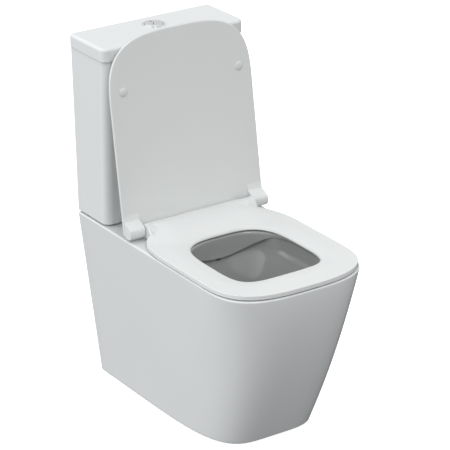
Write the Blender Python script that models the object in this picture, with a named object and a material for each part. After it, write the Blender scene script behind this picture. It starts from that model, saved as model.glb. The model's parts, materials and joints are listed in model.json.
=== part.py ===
"""Close coupled toilet: pan, cistern, flush works, seat and cover.

Units are metres.  +Z is up, -Y is the front and +Y is the wall.  The origin is
the centre of the footprint on the floor.  Depths are measured from the wall.
"""

import math

import bmesh
import bpy
from mathutils import Matrix, Vector

# ---------------------------------------------------------------- driving sizes
DEPTH = 0.665                       # wall to the front of the pan
WALL_Y = DEPTH / 2

PAN_HEIGHT = 0.400
PAN_TOP_WIDTH = 0.3606
PAN_BASE_WIDTH = 0.2925
PAN_BASE_DEPTH = 0.527
PAN_BASE_BACK = 0.020               # the back leans off the wall towards the floor
PAN_WALL = 0.014
DECK = 0.016
RIM_FILLET = 0.0035

BOWL_WALL = 0.012
TRAP_RADIUS = 0.027
TRAP_WALL = 0.009
OUTLET_RADIUS = 0.043
OUTLET_HEIGHT = 0.180
BACK_RECESS = 0.034                 # outlet face and back opening, from the wall
OPENING_HALF = 0.085
OPENING_TOP = 0.265
INLET_RADIUS = 0.044
INLET_RECESS = 0.012
FLUSHWAY_RADIUS = 0.020
FLUSHWAY_WALL = 0.008

TANK_GAP = 0.003                    # gasket joint between pan and cistern
TANK_BOTTOM = PAN_HEIGHT + TANK_GAP
TANK_TOP = 0.7940
TANK_TOP_WIDTH = 0.3600
TANK_BASE_WIDTH = 0.3575
TANK_TOP_DEPTH = 0.1445
TANK_BASE_DEPTH = 0.124
TANK_WALL = 0.009
TANK_FLOOR = 0.014
TANK_FRONT_RADIUS = 0.020
TANK_BACK_RADIUS = 0.004
TANK_LEAST_RADIUS = 0.003

LID_WIDTH = 0.366
LID_DEPTH = 0.148
LID_BOTTOM = TANK_TOP + 0.0003
LID_TOP = 0.8255
LID_WALL = 0.009
LID_LIP = 0.004
LID_FILLET = 0.007
LID_FRONT_RADIUS = 0.0170
LID_BACK_RADIUS = 0.0085

BUTTON_DEPTH = 0.060
BUTTON_RADIUS = 0.0200
BUTTON_HEIGHT = 0.013
BUTTON_SPLIT = 0.0008
BUTTON_WAVE = 0.0045
ROD_OFFSET = 0.010
ROD_RADIUS = 0.0022
ROD_BOTTOM = 0.712

VALVE_DEPTH = 0.066
FLUSH_TAIL_RADIUS = 0.031
FILL_X = -0.115
FILL_TAIL_RADIUS = 0.0104
COUPLING_X = 0.078

HINGE_DEPTH = 0.230
HINGE_HEIGHT = 0.422
KNUCKLE = 0.0145
POST_X = 0.123
PIN_RADIUS = 0.004
SEAT_BARREL = 0.1425                # half length of the seat's barrel
EAR_INNER = 0.1437
EAR_OUTER = 0.1800

SEAT_WIDTH = 0.3598
SEAT_FRONT = 0.664
SEAT_BOTTOM = 0.4025
SEAT_TOP = 0.4125
HOLE_HALF_WIDTH = 0.1130
HOLE_CENTRE = 0.458
HOLE_FRONT = 0.577
HOLE_BACK = 0.316
HOLE_FRONT_BOW = 4.6                # superellipse exponents
HOLE_BACK_BOW = 3.4

COVER_HALF_WIDTH = 0.1835
COVER_LENGTH = 0.433                # hinge axis to the free edge
COVER_THICKNESS = 0.0095
COVER_TILT = math.radians(3.0)      # the closed cover falls towards the front
COVER_OPEN = math.radians(100.5)

GAP = 0.0003                        # between touching pieces
RUNNING = 0.0003                    # round a pin


def wall(depth):
    """Y of a point that is depth metres out from the wall."""
    return WALL_Y - depth


# ---------------------------------------------------------------- materials
def material(name, colour, roughness, metallic=0.0):
    """Principled material, made once for each name."""
    made = bpy.data.materials.get(name)
    if made:
        return made
    made = bpy.data.materials.new(name)
    made.use_nodes = True
    shader = made.node_tree.nodes["Principled BSDF"]
    shader.inputs["Base Color"].default_value = (*colour, 1.0)
    shader.inputs["Roughness"].default_value = roughness
    shader.inputs["Metallic"].default_value = metallic
    return made


def ceramic():
    return material("glazed_ceramic", (0.80, 0.81, 0.81), 0.08)


def duroplast():
    return material("duroplast", (0.83, 0.84, 0.84), 0.12)


def chrome():
    return material("chrome", (0.78, 0.79, 0.80), 0.06, 1.0)


def zinc():
    return material("zinc_steel", (0.62, 0.63, 0.64), 0.3, 1.0)


def brass():
    return material("brass", (0.72, 0.56, 0.27), 0.3, 1.0)


def white_plastic():
    return material("white_plastic", (0.78, 0.79, 0.79), 0.35)


def grey_plastic():
    return material("grey_plastic", (0.30, 0.33, 0.36), 0.4)


def rubber():
    return material("rubber", (0.05, 0.05, 0.055), 0.8)


def clear_rubber():
    return material("clear_rubber", (0.72, 0.73, 0.72), 0.45)


# ---------------------------------------------------------------- mesh tools
def add_object(name, bm, finish, parent=None, location=(0, 0, 0)):
    """Turn a bmesh into a named object with its faces pointing out."""
    bmesh.ops.recalc_face_normals(bm, faces=bm.faces)
    mesh = bpy.data.meshes.new(name)
    bm.to_mesh(mesh)
    bm.free()
    mesh.shade_smooth()
    mesh.set_sharp_from_angle(angle=math.radians(35))
    mesh.materials.append(finish)
    thing = bpy.data.objects.new(name, mesh)
    bpy.context.scene.collection.objects.link(thing)
    thing.location = location
    thing.parent = parent
    return thing


def guide(name, bm, parent=None, location=(0, 0, 0)):
    """A hidden solid that only feeds Boolean modifiers."""
    made = add_object(name, bm, ceramic(), parent, location)
    made.hide_render = True
    made.display_type = "WIRE"
    return made


def boolean(target, tool, operation="DIFFERENCE"):
    modifier = target.modifiers.new(tool.name, "BOOLEAN")
    modifier.operation = operation
    modifier.object = tool


def axis_empty(name, location, angle=0.0):
    """Empty on a joint axis that runs along X."""
    made = bpy.data.objects.new(name, None)
    bpy.context.scene.collection.objects.link(made)
    made.location = location
    made.rotation_euler = (angle, 0, 0)
    return made


def loft(rings, cyclic=False):
    """Skin a list of rings with equal point counts, capped unless cyclic."""
    bm = bmesh.new()
    rows = [[bm.verts.new(point) for point in ring] for ring in rings]
    pairs = list(zip(rows, rows[1:]))
    if cyclic:
        pairs.append((rows[-1], rows[0]))
    for low, high in pairs:
        for i, corner in enumerate(low):
            j = (i + 1) % len(low)
            bm.faces.new((corner, low[j], high[j], high[i]))
    if not cyclic:
        bm.faces.new(rows[0])
        bm.faces.new(rows[-1])
    return bm


def circle(radius, height, steps):
    turn = 2 * math.pi / steps
    return [Vector((radius * math.cos(turn * (i + 0.5)), radius * math.sin(turn * (i + 0.5)), height))
            for i in range(steps)]


def stack(profile, steps=16):
    """Solid of revolution about Z from (radius, height) pairs, capped at both ends."""
    return loft([circle(radius, height, steps) for radius, height in profile])


def turned(profile, steps=20):
    """Ring shaped solid of revolution about Z from a closed (radius, height) outline."""
    rings = []
    for i in range(steps):
        angle = 2 * math.pi * i / steps
        rings.append([Vector((r * math.cos(angle), r * math.sin(angle), z)) for r, z in profile])
    return loft(rings, cyclic=True)


def tube(outer, inner, low, high, steps=16):
    return turned([(outer, low), (outer, high), (inner, high), (inner, low)], steps)


def hex_nut(bore, across, low, high, steps=18):
    """Six sided nut about Z; across is its width across the flats."""
    rings = []
    for i in range(steps):
        angle = 2 * math.pi * i / steps
        flat = across / 2 / math.cos((angle + math.pi / 6) % (math.pi / 3) - math.pi / 6)
        outline = [(bore, low), (flat, low), (flat, high), (bore, high)]
        rings.append([Vector((r * math.cos(angle), r * math.sin(angle), z)) for r, z in outline])
    return loft(rings, cyclic=True)


def along_x(bm, start):
    """Lay a Z-axis solid down along +X, starting at x = start."""
    bmesh.ops.transform(bm, matrix=Matrix.Translation((start, 0, 0)) @ Matrix.Rotation(math.pi / 2, 4, "Y"),
                        verts=bm.verts)
    return bm


def box(low, high):
    bm = bmesh.new()
    bmesh.ops.create_cube(bm, size=1.0)
    low, high = Vector(low), Vector(high)
    for vert in bm.verts:
        vert.co = (low + high) / 2 + Vector(c * s for c, s in zip(vert.co, high - low))
    return bm


def prism_x(outline, start, end):
    """Solid with a (y, z) outline that runs along X from start to end."""
    return loft([[Vector((x, y, z)) for y, z in outline] for x in (start, end)])


def smooth_path(points, steps=2):
    """Catmull-Rom curve through the points."""
    ends = [points[0] * 2 - points[1]] + points + [points[-1] * 2 - points[-2]]
    path = []
    for a, b, c, d in zip(ends, ends[1:], ends[2:], ends[3:]):
        for i in range(steps):
            t = i / steps
            path.append(0.5 * (2 * b + (c - a) * t + (2 * a - 5 * b + 4 * c - d) * t * t
                               + (3 * b - a - 3 * c + d) * t ** 3))
    return path + [points[-1]]


def pipe(path, radii, steps=16):
    """Round pipe along a path in the YZ plane with a radius at each point."""
    rings = []
    for i, (centre, radius) in enumerate(zip(path, radii)):
        tangent = (path[min(i + 1, len(path) - 1)] - path[max(i - 1, 0)]).normalized()
        side = Vector((1, 0, 0))
        up = side.cross(tangent)
        rings.append([centre + side * radius * math.cos(2 * math.pi * k / steps)
                      + up * radius * math.sin(2 * math.pi * k / steps) for k in range(steps)])
    return loft(rings)


def blend(start, end, t):
    return start + (end - start) * t


def smoothstep(low, high, value):
    t = min(max((value - low) / (high - low), 0.0), 1.0)
    return t * t * (3 - 2 * t)


def bow(angle, exponent):
    """Cosine and sine pair of a superellipse."""
    c, s = math.cos(angle), math.sin(angle)
    return (math.copysign(abs(c) ** (2 / exponent), c), math.copysign(abs(s) ** (2 / exponent), s))


# ---------------------------------------------------------------- pan
def pan_ring(height, inset=0.0, steps=26):
    """Outline of the skirt at a height, from the back left corner round the front."""
    t = min(max(height / PAN_HEIGHT, 0.0), 1.0)
    half = blend(PAN_BASE_WIDTH, PAN_TOP_WIDTH, t) / 2 - inset
    front = blend(PAN_BASE_DEPTH, DEPTH, 1 - (1 - t) ** 1.47) - inset
    straight = blend(0.10, 0.525, t)
    back = PAN_BASE_BACK * (1 - t) + inset
    exponent = blend(4.6, 3.1, t)
    ring = [Vector((-half + 0.004, wall(back), height)), Vector((-half, wall(back + 0.004), height))]
    for i in range(steps + 1):
        across, out = bow(math.pi * i / steps, exponent)
        ring.append(Vector((-half * across, wall(straight + (front - straight) * out), height)))
    ring += [Vector((half, wall(back + 0.004), height)), Vector((half - 0.004, wall(back), height))]
    return ring


BOWL_STATIONS = (                   # height, centre depth, half width, half length
    (0.4200, 0.453, 0.1240, 0.139),
    (0.3700, 0.453, 0.1240, 0.139),
    (0.3350, 0.452, 0.1180, 0.131),
    (0.2950, 0.446, 0.1020, 0.116),
    (0.2550, 0.430, 0.0800, 0.096),
    (0.2150, 0.405, 0.0580, 0.074),
    (0.1800, 0.385, 0.0450, 0.057),
    (0.1480, 0.378, 0.0360, 0.046),
    (0.1350, 0.378, 0.0220, 0.030),
)


def bowl_ring(station, grow, steps=28):
    height, depth, half_width, half_length = station
    ring = []
    for i in range(steps):
        across, out = bow(2 * math.pi * i / steps, 2.6)
        ring.append(Vector((across * (half_width + grow), wall(depth) + out * (half_length + grow), height)))
    return ring


def bowl_solid(grow, top):
    """Bowl form from its rim down to the sump; grow adds the wall outside it."""
    stations = [(top, *BOWL_STATIONS[0][1:]), *BOWL_STATIONS[1:-1]]
    rings = [bowl_ring(station, grow) for station in stations]
    height, *plan = BOWL_STATIONS[-1]
    rings.append(bowl_ring((height - grow, *plan), grow))
    return loft(rings)


TRAP_ROUTE = ((0.378, 0.172), (0.338, 0.146), (0.292, 0.140), (0.252, 0.163), (0.224, 0.203), (0.195, 0.235),
              (0.158, 0.243), (0.122, 0.222), (0.085, 0.191), (0.062, OUTLET_HEIGHT), (0.048, OUTLET_HEIGHT),
              (BACK_RECESS, OUTLET_HEIGHT))
FLUSH_ROUTE = ((VALVE_DEPTH, 0.392), (VALVE_DEPTH + 0.004, 0.362), (0.106, 0.336), (0.170, 0.326), (0.240, 0.332),
               (0.300, 0.344), (0.336, 0.348))


def route(points):
    return smooth_path([Vector((0, wall(depth), height)) for depth, height in points])


def trap_solid(grow, overrun=0.0):
    """Water trap and outlet spigot; overrun pushes a cutter out past the spigot's end."""
    path = route(TRAP_ROUTE)
    flare = [smoothstep(wall(0.135), wall(0.060), point.y) for point in path]
    path[-1] = path[-1] + Vector((0, overrun, 0))
    return pipe(path, [blend(TRAP_RADIUS, OUTLET_RADIUS, f) + grow for f in flare])


def flush_solid(grow, overrun=0.0):
    """Flush channel from the cistern's valve; overrun pushes a cutter out past its two ends."""
    path = route(FLUSH_ROUTE)
    path[0] = path[0] + Vector((0, 0, overrun))
    path[-1] = path[-1] + Vector((0, -overrun, 0))
    return pipe(path, [FLUSHWAY_RADIUS + grow] * len(path), 12)


def make_pan():
    """Skirt and deck, open underneath and at the back."""
    top = PAN_HEIGHT
    heights = [(0.0, 0.0015), (0.0015, 0.0), (0.09, 0), (0.18, 0), (0.27, 0), (0.34, 0),
               (top - RIM_FILLET, 0.0), (top - 0.3 * RIM_FILLET, 0.3 * RIM_FILLET), (top, RIM_FILLET)]
    pan = add_object("pan", loft([pan_ring(height, inset) for height, inset in heights]), ceramic())
    hollow_heights = (-0.01, 0.0, 0.10, 0.20, 0.30, top - DECK)
    hollow = loft([[Vector((p.x, p.y, height)) for p in pan_ring(height, PAN_WALL, 18)]
                   for height in hollow_heights])
    boolean(pan, guide("pan_hollow", hollow))
    opening = box((-OPENING_HALF, wall(BACK_RECESS), -0.01), (OPENING_HALF, wall(-0.01), OPENING_TOP))
    boolean(pan, guide("back_opening", opening))
    boolean(pan, guide("bowl_mouth", bowl_solid(0.0, top + 0.02)))
    boolean(pan, guide("flushway_top", flush_solid(0.0)))
    inlet = stack([(INLET_RADIUS, top - INLET_RECESS), (INLET_RADIUS, top + 0.01)], 24)
    boolean(pan, guide("inlet_recess", inlet, location=(0, wall(VALVE_DEPTH), 0)))
    holes = [("coupling_hole", COUPLING_X, VALVE_DEPTH, 0.0048), ("coupling_hole", -COUPLING_X, VALVE_DEPTH, 0.0048),
             ("fill_hole", FILL_X, VALVE_DEPTH, 0.021),
             ("hinge_hole", POST_X, HINGE_DEPTH, 0.0050), ("hinge_hole", -POST_X, HINGE_DEPTH, 0.0050)]
    for name, x, depth, radius in holes:
        drill = stack([(radius, top - DECK - 0.01), (radius, top + 0.01)], 14)
        boolean(pan, guide(name, drill, location=(x, wall(depth), 0)))


def make_bowl():
    """Bowl under the deck."""
    bowl = add_object("pan_bowl", bowl_solid(BOWL_WALL, PAN_HEIGHT - DECK - GAP), ceramic())
    boolean(bowl, guide("bowl_cavity", bowl_solid(0.0, PAN_HEIGHT + 0.02)))
    boolean(bowl, guide("bowl_outlet", trap_solid(0.0)))
    boolean(bowl, guide("bowl_inlet", flush_solid(0.0)))


def make_trap():
    """Water trap from the bowl's wall to the outlet spigot."""
    trap = add_object("pan_trap", trap_solid(TRAP_WALL), ceramic())
    boolean(trap, guide("trap_bowl_room", bowl_solid(BOWL_WALL + GAP, PAN_HEIGHT)))
    boolean(trap, guide("trapway", trap_solid(0.0, 0.01)))


def make_flushway():
    """Flush channel from the deck to the back of the bowl."""
    channel = add_object("pan_flushway", flush_solid(FLUSHWAY_WALL), ceramic())
    deck = box((-0.1, wall(0.2), PAN_HEIGHT - DECK - GAP), (0.1, wall(0.0), PAN_HEIGHT + 0.02))
    boolean(channel, guide("flushway_deck_room", deck))
    boolean(channel, guide("flushway_bowl_room", bowl_solid(BOWL_WALL + GAP, PAN_HEIGHT)))
    boolean(channel, guide("flushway_bore", flush_solid(0.0, 0.01)))


# ---------------------------------------------------------------- cistern
def rounded_ring(half, front, back, height, front_radius, back_radius, steps=4):
    """Rounded rectangle at a height, with its own radius at the front and the back."""
    ring = []
    corners = ((half, back, back_radius, 0), (-half, back, back_radius, 90),
               (-half, front, front_radius, 180), (half, front, front_radius, 270))
    for x, y, radius, start in corners:
        centre = Vector((x - math.copysign(radius, x), y - radius if y == back else y + radius, height))
        for i in range(steps + 1):
            angle = math.radians(start + 90 * i / steps)
            ring.append(centre + Vector((math.cos(angle), math.sin(angle), 0)) * radius)
    return ring


def tank_ring(height, inset=0.0):
    t = (height - TANK_BOTTOM) / (TANK_TOP - TANK_BOTTOM)
    half = blend(TANK_BASE_WIDTH, TANK_TOP_WIDTH, t) / 2 - inset
    front = wall(blend(TANK_BASE_DEPTH, TANK_TOP_DEPTH, t) - inset)
    front_radius = max(TANK_FRONT_RADIUS - inset, TANK_LEAST_RADIUS)
    back_radius = max(TANK_BACK_RADIUS - inset, TANK_LEAST_RADIUS)
    return rounded_ring(half, front, WALL_Y - inset, height, front_radius, back_radius)


def make_tank():
    outside = [(TANK_BOTTOM, 0.003), (TANK_BOTTOM + 0.003, 0.0), (0.53, 0), (0.66, 0), (TANK_TOP, 0)]
    tank = add_object("cistern_tank", loft([tank_ring(z, inset) for z, inset in outside]), ceramic())
    inside = [(TANK_BOTTOM + TANK_FLOOR, TANK_WALL + 0.003), (TANK_BOTTOM + TANK_FLOOR + 0.004, TANK_WALL),
              (TANK_TOP, TANK_WALL), (TANK_TOP + 0.01, TANK_WALL)]
    boolean(tank, guide("tank_hollow", loft([tank_ring(z, inset) for z, inset in inside])))
    holes = [("valve_hole", 0.0, FLUSH_TAIL_RADIUS + 0.0015), ("tail_hole", FILL_X, FILL_TAIL_RADIUS + 0.0009),
             ("bolt_hole", COUPLING_X, 0.0048), ("bolt_hole", -COUPLING_X, 0.0048)]
    for name, x, radius in holes:
        drill = stack([(radius, TANK_BOTTOM - 0.01), (radius, TANK_BOTTOM + TANK_FLOOR + 0.01)], 24)
        boolean(tank, guide(name, drill, location=(x, wall(VALVE_DEPTH), 0)))


def lid_ring(height, inset=0.0):
    return rounded_ring(LID_WIDTH / 2 - inset, wall(LID_DEPTH - inset), WALL_Y - inset, height,
                        LID_FRONT_RADIUS - inset, LID_BACK_RADIUS - inset)


def make_lid():
    """Cistern lid: a shallow cap with a rounded top edge and a lip inside the tank."""
    edge = [(LID_TOP - LID_FILLET * (1 - math.sin(a)), LID_FILLET * (1 - math.cos(a)))
            for a in (math.radians(step) for step in (0, 22, 45, 67, 90))]
    rings = [lid_ring(LID_BOTTOM, 0.0015), lid_ring(LID_BOTTOM + 0.0015)]
    lid = add_object("cistern_lid", loft(rings + [lid_ring(z, inset) for z, inset in edge]), ceramic())
    lip_inset = TANK_WALL + 0.0015
    lip = [tank_ring(TANK_TOP - 0.009, lip_inset), tank_ring(TANK_TOP, lip_inset)]
    lip.append([Vector((p.x, p.y, LID_BOTTOM + 0.006)) for p in lip[-1]])
    boolean(lid, guide("lid_lip", loft(lip)), "UNION")
    hollow = [tank_ring(TANK_TOP - 0.02, lip_inset + LID_LIP), tank_ring(TANK_TOP, lip_inset + LID_LIP)]
    hollow.append([Vector((p.x, p.y, LID_TOP - LID_WALL)) for p in hollow[-1]])
    boolean(lid, guide("lid_hollow", loft(hollow)))
    drill = stack([(0.0235, LID_TOP - 0.03), (0.0235, LID_TOP + 0.01)], 28)
    boolean(lid, guide("lid_hole", drill, location=(0, wall(BUTTON_DEPTH), 0)))


# ---------------------------------------------------------------- push buttons
BUTTON_TOP = LID_TOP + 0.0035
HOUSING_FLOOR = LID_TOP - 0.030
SPRING_BASE = HOUSING_FLOOR + 0.003 + GAP
NUT_LOW = LID_TOP - 0.021
NUT_SHOULDER = LID_TOP - 0.013


def half_button(side):
    """One half of the round button, its joint a shallow S across the middle."""
    outline = []
    for i in range(17):
        y = BUTTON_RADIUS * 0.995 * (1 - 2 * i / 16)
        wave = BUTTON_WAVE * math.sin(math.pi * y / BUTTON_RADIUS) + side * BUTTON_SPLIT / 2
        reach = math.sqrt(BUTTON_RADIUS ** 2 - y * y)
        outline.append((side * min(side * wave, reach * 0.98), y))
    for i in range(1, 20):
        angle = -math.pi / 2 + math.pi * i / 20
        outline.append((side * BUTTON_RADIUS * math.cos(angle), BUTTON_RADIUS * math.sin(angle)))
    levels = ((BUTTON_TOP - BUTTON_HEIGHT, 1.0), (BUTTON_TOP - 0.0008, 1.0), (BUTTON_TOP, 0.96))
    centre = Vector((side * BUTTON_RADIUS * 0.45, 0, 0))
    return loft([[centre + (Vector((x, y, 0)) - centre) * scale + Vector((0, 0, height)) for x, y in outline]
                 for height, scale in levels])


def helix(radius, wire, low, high, turns=4, per_turn=9, sides=4):
    """Compression spring about Z."""
    rings = []
    count = turns * per_turn
    for i in range(count + 1):
        angle = 2 * math.pi * i / per_turn
        out = Vector((math.cos(angle), math.sin(angle), 0))
        centre = out * radius + Vector((0, 0, blend(low + wire, high - wire, i / count)))
        rings.append([centre + out * wire * math.cos(2 * math.pi * k / sides)
                      + Vector((0, 0, wire * math.sin(2 * math.pi * k / sides))) for k in range(sides)])
    return loft(rings)


def make_buttons():
    centre = (0, wall(BUTTON_DEPTH), 0)
    flange = 0.0025
    housing = add_object("button_housing", turned([
        (0.0228, HOUSING_FLOOR), (0.0228, LID_TOP + GAP), (0.0260, LID_TOP + GAP), (0.0260, LID_TOP + 0.0013),
        (0.0245, LID_TOP + flange), (0.0208, LID_TOP + flange), (0.0205, LID_TOP + 0.0018),
        (0.0205, HOUSING_FLOOR + 0.003), (0.0030, HOUSING_FLOOR + 0.003), (0.0030, HOUSING_FLOOR)], 28),
        chrome(), location=centre)
    add_object("button_housing_nut", turned([
        (0.0232, NUT_LOW), (0.0232, LID_TOP - LID_WALL - GAP), (0.0320, LID_TOP - LID_WALL - GAP),
        (0.0320, NUT_SHOULDER), (0.0285, NUT_SHOULDER), (0.0285, NUT_LOW)], 20), white_plastic(), location=centre)
    for name, side in (("half_flush", -1), ("full_flush", 1)):
        x = side * ROD_OFFSET
        spot = (x, wall(BUTTON_DEPTH), 0)
        drill = stack([(0.0032, HOUSING_FLOOR - 0.005), (0.0032, HOUSING_FLOOR + 0.008)], 16)
        boolean(housing, guide(name + "_rod_hole", drill, location=spot))
        add_object(name + "_button", half_button(side), chrome(), location=centre)
        rod = stack([(ROD_RADIUS * 0.6, ROD_BOTTOM), (ROD_RADIUS, ROD_BOTTOM + 0.002),
                     (ROD_RADIUS, BUTTON_TOP - BUTTON_HEIGHT - GAP)], 12)
        add_object(name + "_rod", rod, white_plastic(), location=spot)
        spring = helix(0.0042, 0.0005, SPRING_BASE, BUTTON_TOP - BUTTON_HEIGHT - GAP)
        add_object(name + "_spring", spring, zinc(), location=spot)


# ---------------------------------------------------------------- flush valve
FLOOR_TOP = TANK_BOTTOM + TANK_FLOOR
WASHER = 0.004
FLANGE_LOW = FLOOR_TOP + WASHER + 2 * GAP
SEAT_LEVEL = FLANGE_LOW + 0.005


def make_flush_valve():
    centre = (0, wall(VALVE_DEPTH), 0)
    cage_top = 0.560
    body = add_object("flush_valve_body", turned([
        (0.0235, 0.3890), (FLUSH_TAIL_RADIUS, 0.3890), (FLUSH_TAIL_RADIUS, FLANGE_LOW), (0.043, FLANGE_LOW),
        (0.043, SEAT_LEVEL), (0.0365, SEAT_LEVEL), (0.0365, cage_top), (0.0325, cage_top + 0.006),
        (0.0165, cage_top + 0.006), (0.0165, cage_top), (0.0325, cage_top), (0.0325, SEAT_LEVEL),
        (0.0235, SEAT_LEVEL)], 24), white_plastic(), location=centre)
    for name, angle in (("cage_windows_x", 45), ("cage_windows_y", 135)):
        window = box((-0.05, -0.018, SEAT_LEVEL + 0.004), (0.05, 0.018, 0.505))
        bmesh.ops.rotate(window, matrix=Matrix.Rotation(math.radians(angle), 3, "Z"), verts=window.verts)
        boolean(body, guide(name, window, location=centre))
    add_object("flush_valve_lift_tube", turned([
        (0.0125, 0.4300), (0.0275, 0.4300), (0.0275, 0.4325), (0.0155, 0.4370), (0.0155, 0.690),
        (0.0125, 0.690)], 20), grey_plastic(), location=centre)
    add_object("flush_valve_seal", tube(0.0290, 0.0200, SEAT_LEVEL + GAP, 0.4300 - GAP, 20), rubber(),
               location=centre)
    add_object("flush_valve_washer", tube(0.0425, FLUSH_TAIL_RADIUS + 0.0006, FLOOR_TOP + GAP, FLANGE_LOW - GAP, 24),
               rubber(), location=centre)
    nut = hex_nut(FLUSH_TAIL_RADIUS + 0.0006, 0.074, 0.3905, TANK_BOTTOM - GAP, 24)
    add_object("flush_valve_backnut", nut, white_plastic(), location=centre)
    add_object("coupling_gasket", tube(0.0610, 0.0450, PAN_HEIGHT + GAP, TANK_BOTTOM - GAP, 20), rubber(),
               location=centre)


# ---------------------------------------------------------------- fill valve
FLOAT_TOP = 0.700
LEVER_HEIGHT = 0.745
LEVER_PIVOT_X = FILL_X + 0.026
LUG_X = FILL_X + 0.056


def make_fill_valve():
    centre = (FILL_X, wall(VALVE_DEPTH), 0)
    bore = 0.005
    body = add_object("fill_valve_body", turned([
        (bore, 0.335), (FILL_TAIL_RADIUS, 0.335), (FILL_TAIL_RADIUS, FLANGE_LOW), (0.017, FLANGE_LOW),
        (0.017, SEAT_LEVEL), (0.011, SEAT_LEVEL), (0.011, 0.732), (0.020, 0.732), (0.020, 0.760), (bore, 0.760)],
        24), white_plastic(), location=centre)
    ears = box((0.018, -0.008, 0.738), (0.030, 0.008, 0.752))
    boolean(body, guide("lever_ears", ears, location=centre), "UNION")
    boolean(body, guide("lever_slot", box((0.0205, -0.0045, 0.73), (0.04, 0.0045, 0.76)), location=centre))
    add_object("fill_valve_cap", stack([(0.0195, 0.7603), (0.0195, 0.770), (0.0175, 0.772)], 24), grey_plastic(),
               location=centre)
    cup = add_object("float", turned([
        (0.0117, 0.640), (0.0117, FLOAT_TOP), (0.0270, FLOAT_TOP), (0.0270, 0.640), (0.0250, 0.640),
        (0.0250, FLOAT_TOP - 0.003), (0.0137, FLOAT_TOP - 0.003), (0.0137, 0.640)], 28), grey_plastic(),
        location=centre)
    lug_x = LUG_X - FILL_X
    boolean(cup, guide("float_arm", box((0.020, -0.003, FLOAT_TOP - 0.006), (lug_x + 0.003, 0.003, FLOAT_TOP)),
                       location=centre), "UNION")
    boolean(cup, guide("float_lug", box((lug_x - 0.003, -0.003, FLOAT_TOP - 0.004),
                                        (lug_x + 0.003, 0.003, LEVER_HEIGHT - 0.0030)), location=centre), "UNION")
    pivot = Vector((LEVER_PIVOT_X, wall(VALVE_DEPTH), LEVER_HEIGHT))
    lever = box((-0.0028, -0.0040, -0.0022), (lug_x - 0.026 + 0.008, 0.0040, 0.0022))
    arm = add_object("float_lever", lever, grey_plastic(), location=pivot)
    drill = stack([(0.0013, -0.01), (0.0013, 0.01)], 12)
    bmesh.ops.rotate(drill, matrix=Matrix.Rotation(math.pi / 2, 3, "X"), verts=drill.verts)
    hole = guide("lever_pin_hole", drill, location=pivot)
    boolean(arm, hole)
    boolean(body, hole)
    pin = stack([(0.0010, -0.0078), (0.0010, 0.0078)], 12)
    bmesh.ops.rotate(pin, matrix=Matrix.Rotation(math.pi / 2, 3, "X"), verts=pin.verts)
    add_object("float_lever_pin", pin, zinc(), location=pivot)
    add_object("fill_valve_washer", tube(0.0165, FILL_TAIL_RADIUS + GAP, FLOOR_TOP + GAP, FLANGE_LOW - GAP),
               rubber(), location=centre)
    nut = hex_nut(FILL_TAIL_RADIUS + GAP, 0.031, 0.3910, TANK_BOTTOM - GAP)
    add_object("fill_valve_backnut", nut, brass(), location=centre)


# ---------------------------------------------------------------- coupling bolts
def make_coupling():
    """Two bolts that clamp the cistern to the pan, with washers and wing nuts."""
    deck_low = PAN_HEIGHT - DECK
    for name, side in (("left", -1), ("right", 1)):
        spot = (side * COUPLING_X, wall(VALVE_DEPTH), 0)
        head = FLOOR_TOP + 0.005
        add_object("coupling_washer_" + name, turned([
            (0.0043, FLOOR_TOP + GAP), (0.0120, FLOOR_TOP + GAP), (0.0120, FLOOR_TOP + 0.002),
            (0.0085, head - GAP), (0.0043, head - GAP)], 14), rubber(), location=spot)
        add_object("coupling_bolt_" + name, stack([
            (0.0032, 0.3460), (0.0040, 0.3472), (0.0040, head), (0.0085, head), (0.0085, head + 0.0035),
            (0.0060, head + 0.0050)], 14), brass(), location=spot)
        nut = turned([(0.0043, 0.3660), (0.0085, 0.3660), (0.0110, deck_low - GAP), (0.0043, deck_low - GAP)], 14)
        made = add_object("coupling_wing_nut_" + name, nut, brass(), location=spot)
        for wing, low, high in (("front", -0.021, -0.007), ("back", 0.007, 0.021)):
            blade = box((-0.0015, low, 0.3600), (0.0015, high, 0.3760))
            boolean(made, guide("wing_" + wing + "_" + name, blade, location=spot), "UNION")


# ---------------------------------------------------------------- seat
def seat_outline():
    """Half outline of the seat as (x, depth), from the front round to its barrel."""
    half = SEAT_WIDTH / 2
    straight = 0.513
    shoulder, waist = 0.360, HINGE_DEPTH + 0.0124
    side = SEAT_BARREL - 0.0009
    points = []
    for i in range(13):
        across, out = bow(math.pi / 2 * (1 - i / 12), 3.0)
        points.append((half * across, straight + (SEAT_FRONT - straight) * out))
    points += [(half, 0.46), (half, 0.41)]
    for i in range(7):
        angle = math.pi / 2 * i / 6
        points.append((side + (half - side) * math.cos(angle),
                       shoulder - (shoulder - waist) * math.sin(angle)))
    points += [(0.118, waist), (0.094, waist), (0.063, waist), (0.031, waist), (0.0, waist)]
    return points


def hole_point(x, depth, grow):
    """Point of the seat's hole that lies in the same direction from its centre."""
    angle = math.atan2(depth - HOLE_CENTRE, x)
    reach = HOLE_FRONT - HOLE_CENTRE if angle > 0 else HOLE_CENTRE - HOLE_BACK
    exponent = HOLE_FRONT_BOW if angle > 0 else HOLE_BACK_BOW
    c, s = abs(math.cos(angle)), abs(math.sin(angle))
    radius = ((c / HOLE_HALF_WIDTH) ** exponent + (s / reach) ** exponent) ** (-1 / exponent) + grow
    return (radius * math.cos(angle), HOLE_CENTRE + radius * math.sin(angle))


def seat_height(x, depth):
    """Top of the seat: level, then rising over the hood to the hinge barrel."""
    along = smoothstep(0.325, HINGE_DEPTH + 0.012, depth)
    across = 1 - smoothstep(0.090, 0.172, abs(x))
    return SEAT_TOP + (HINGE_HEIGHT + KNUCKLE - 0.003 - SEAT_TOP) * along * across


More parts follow.
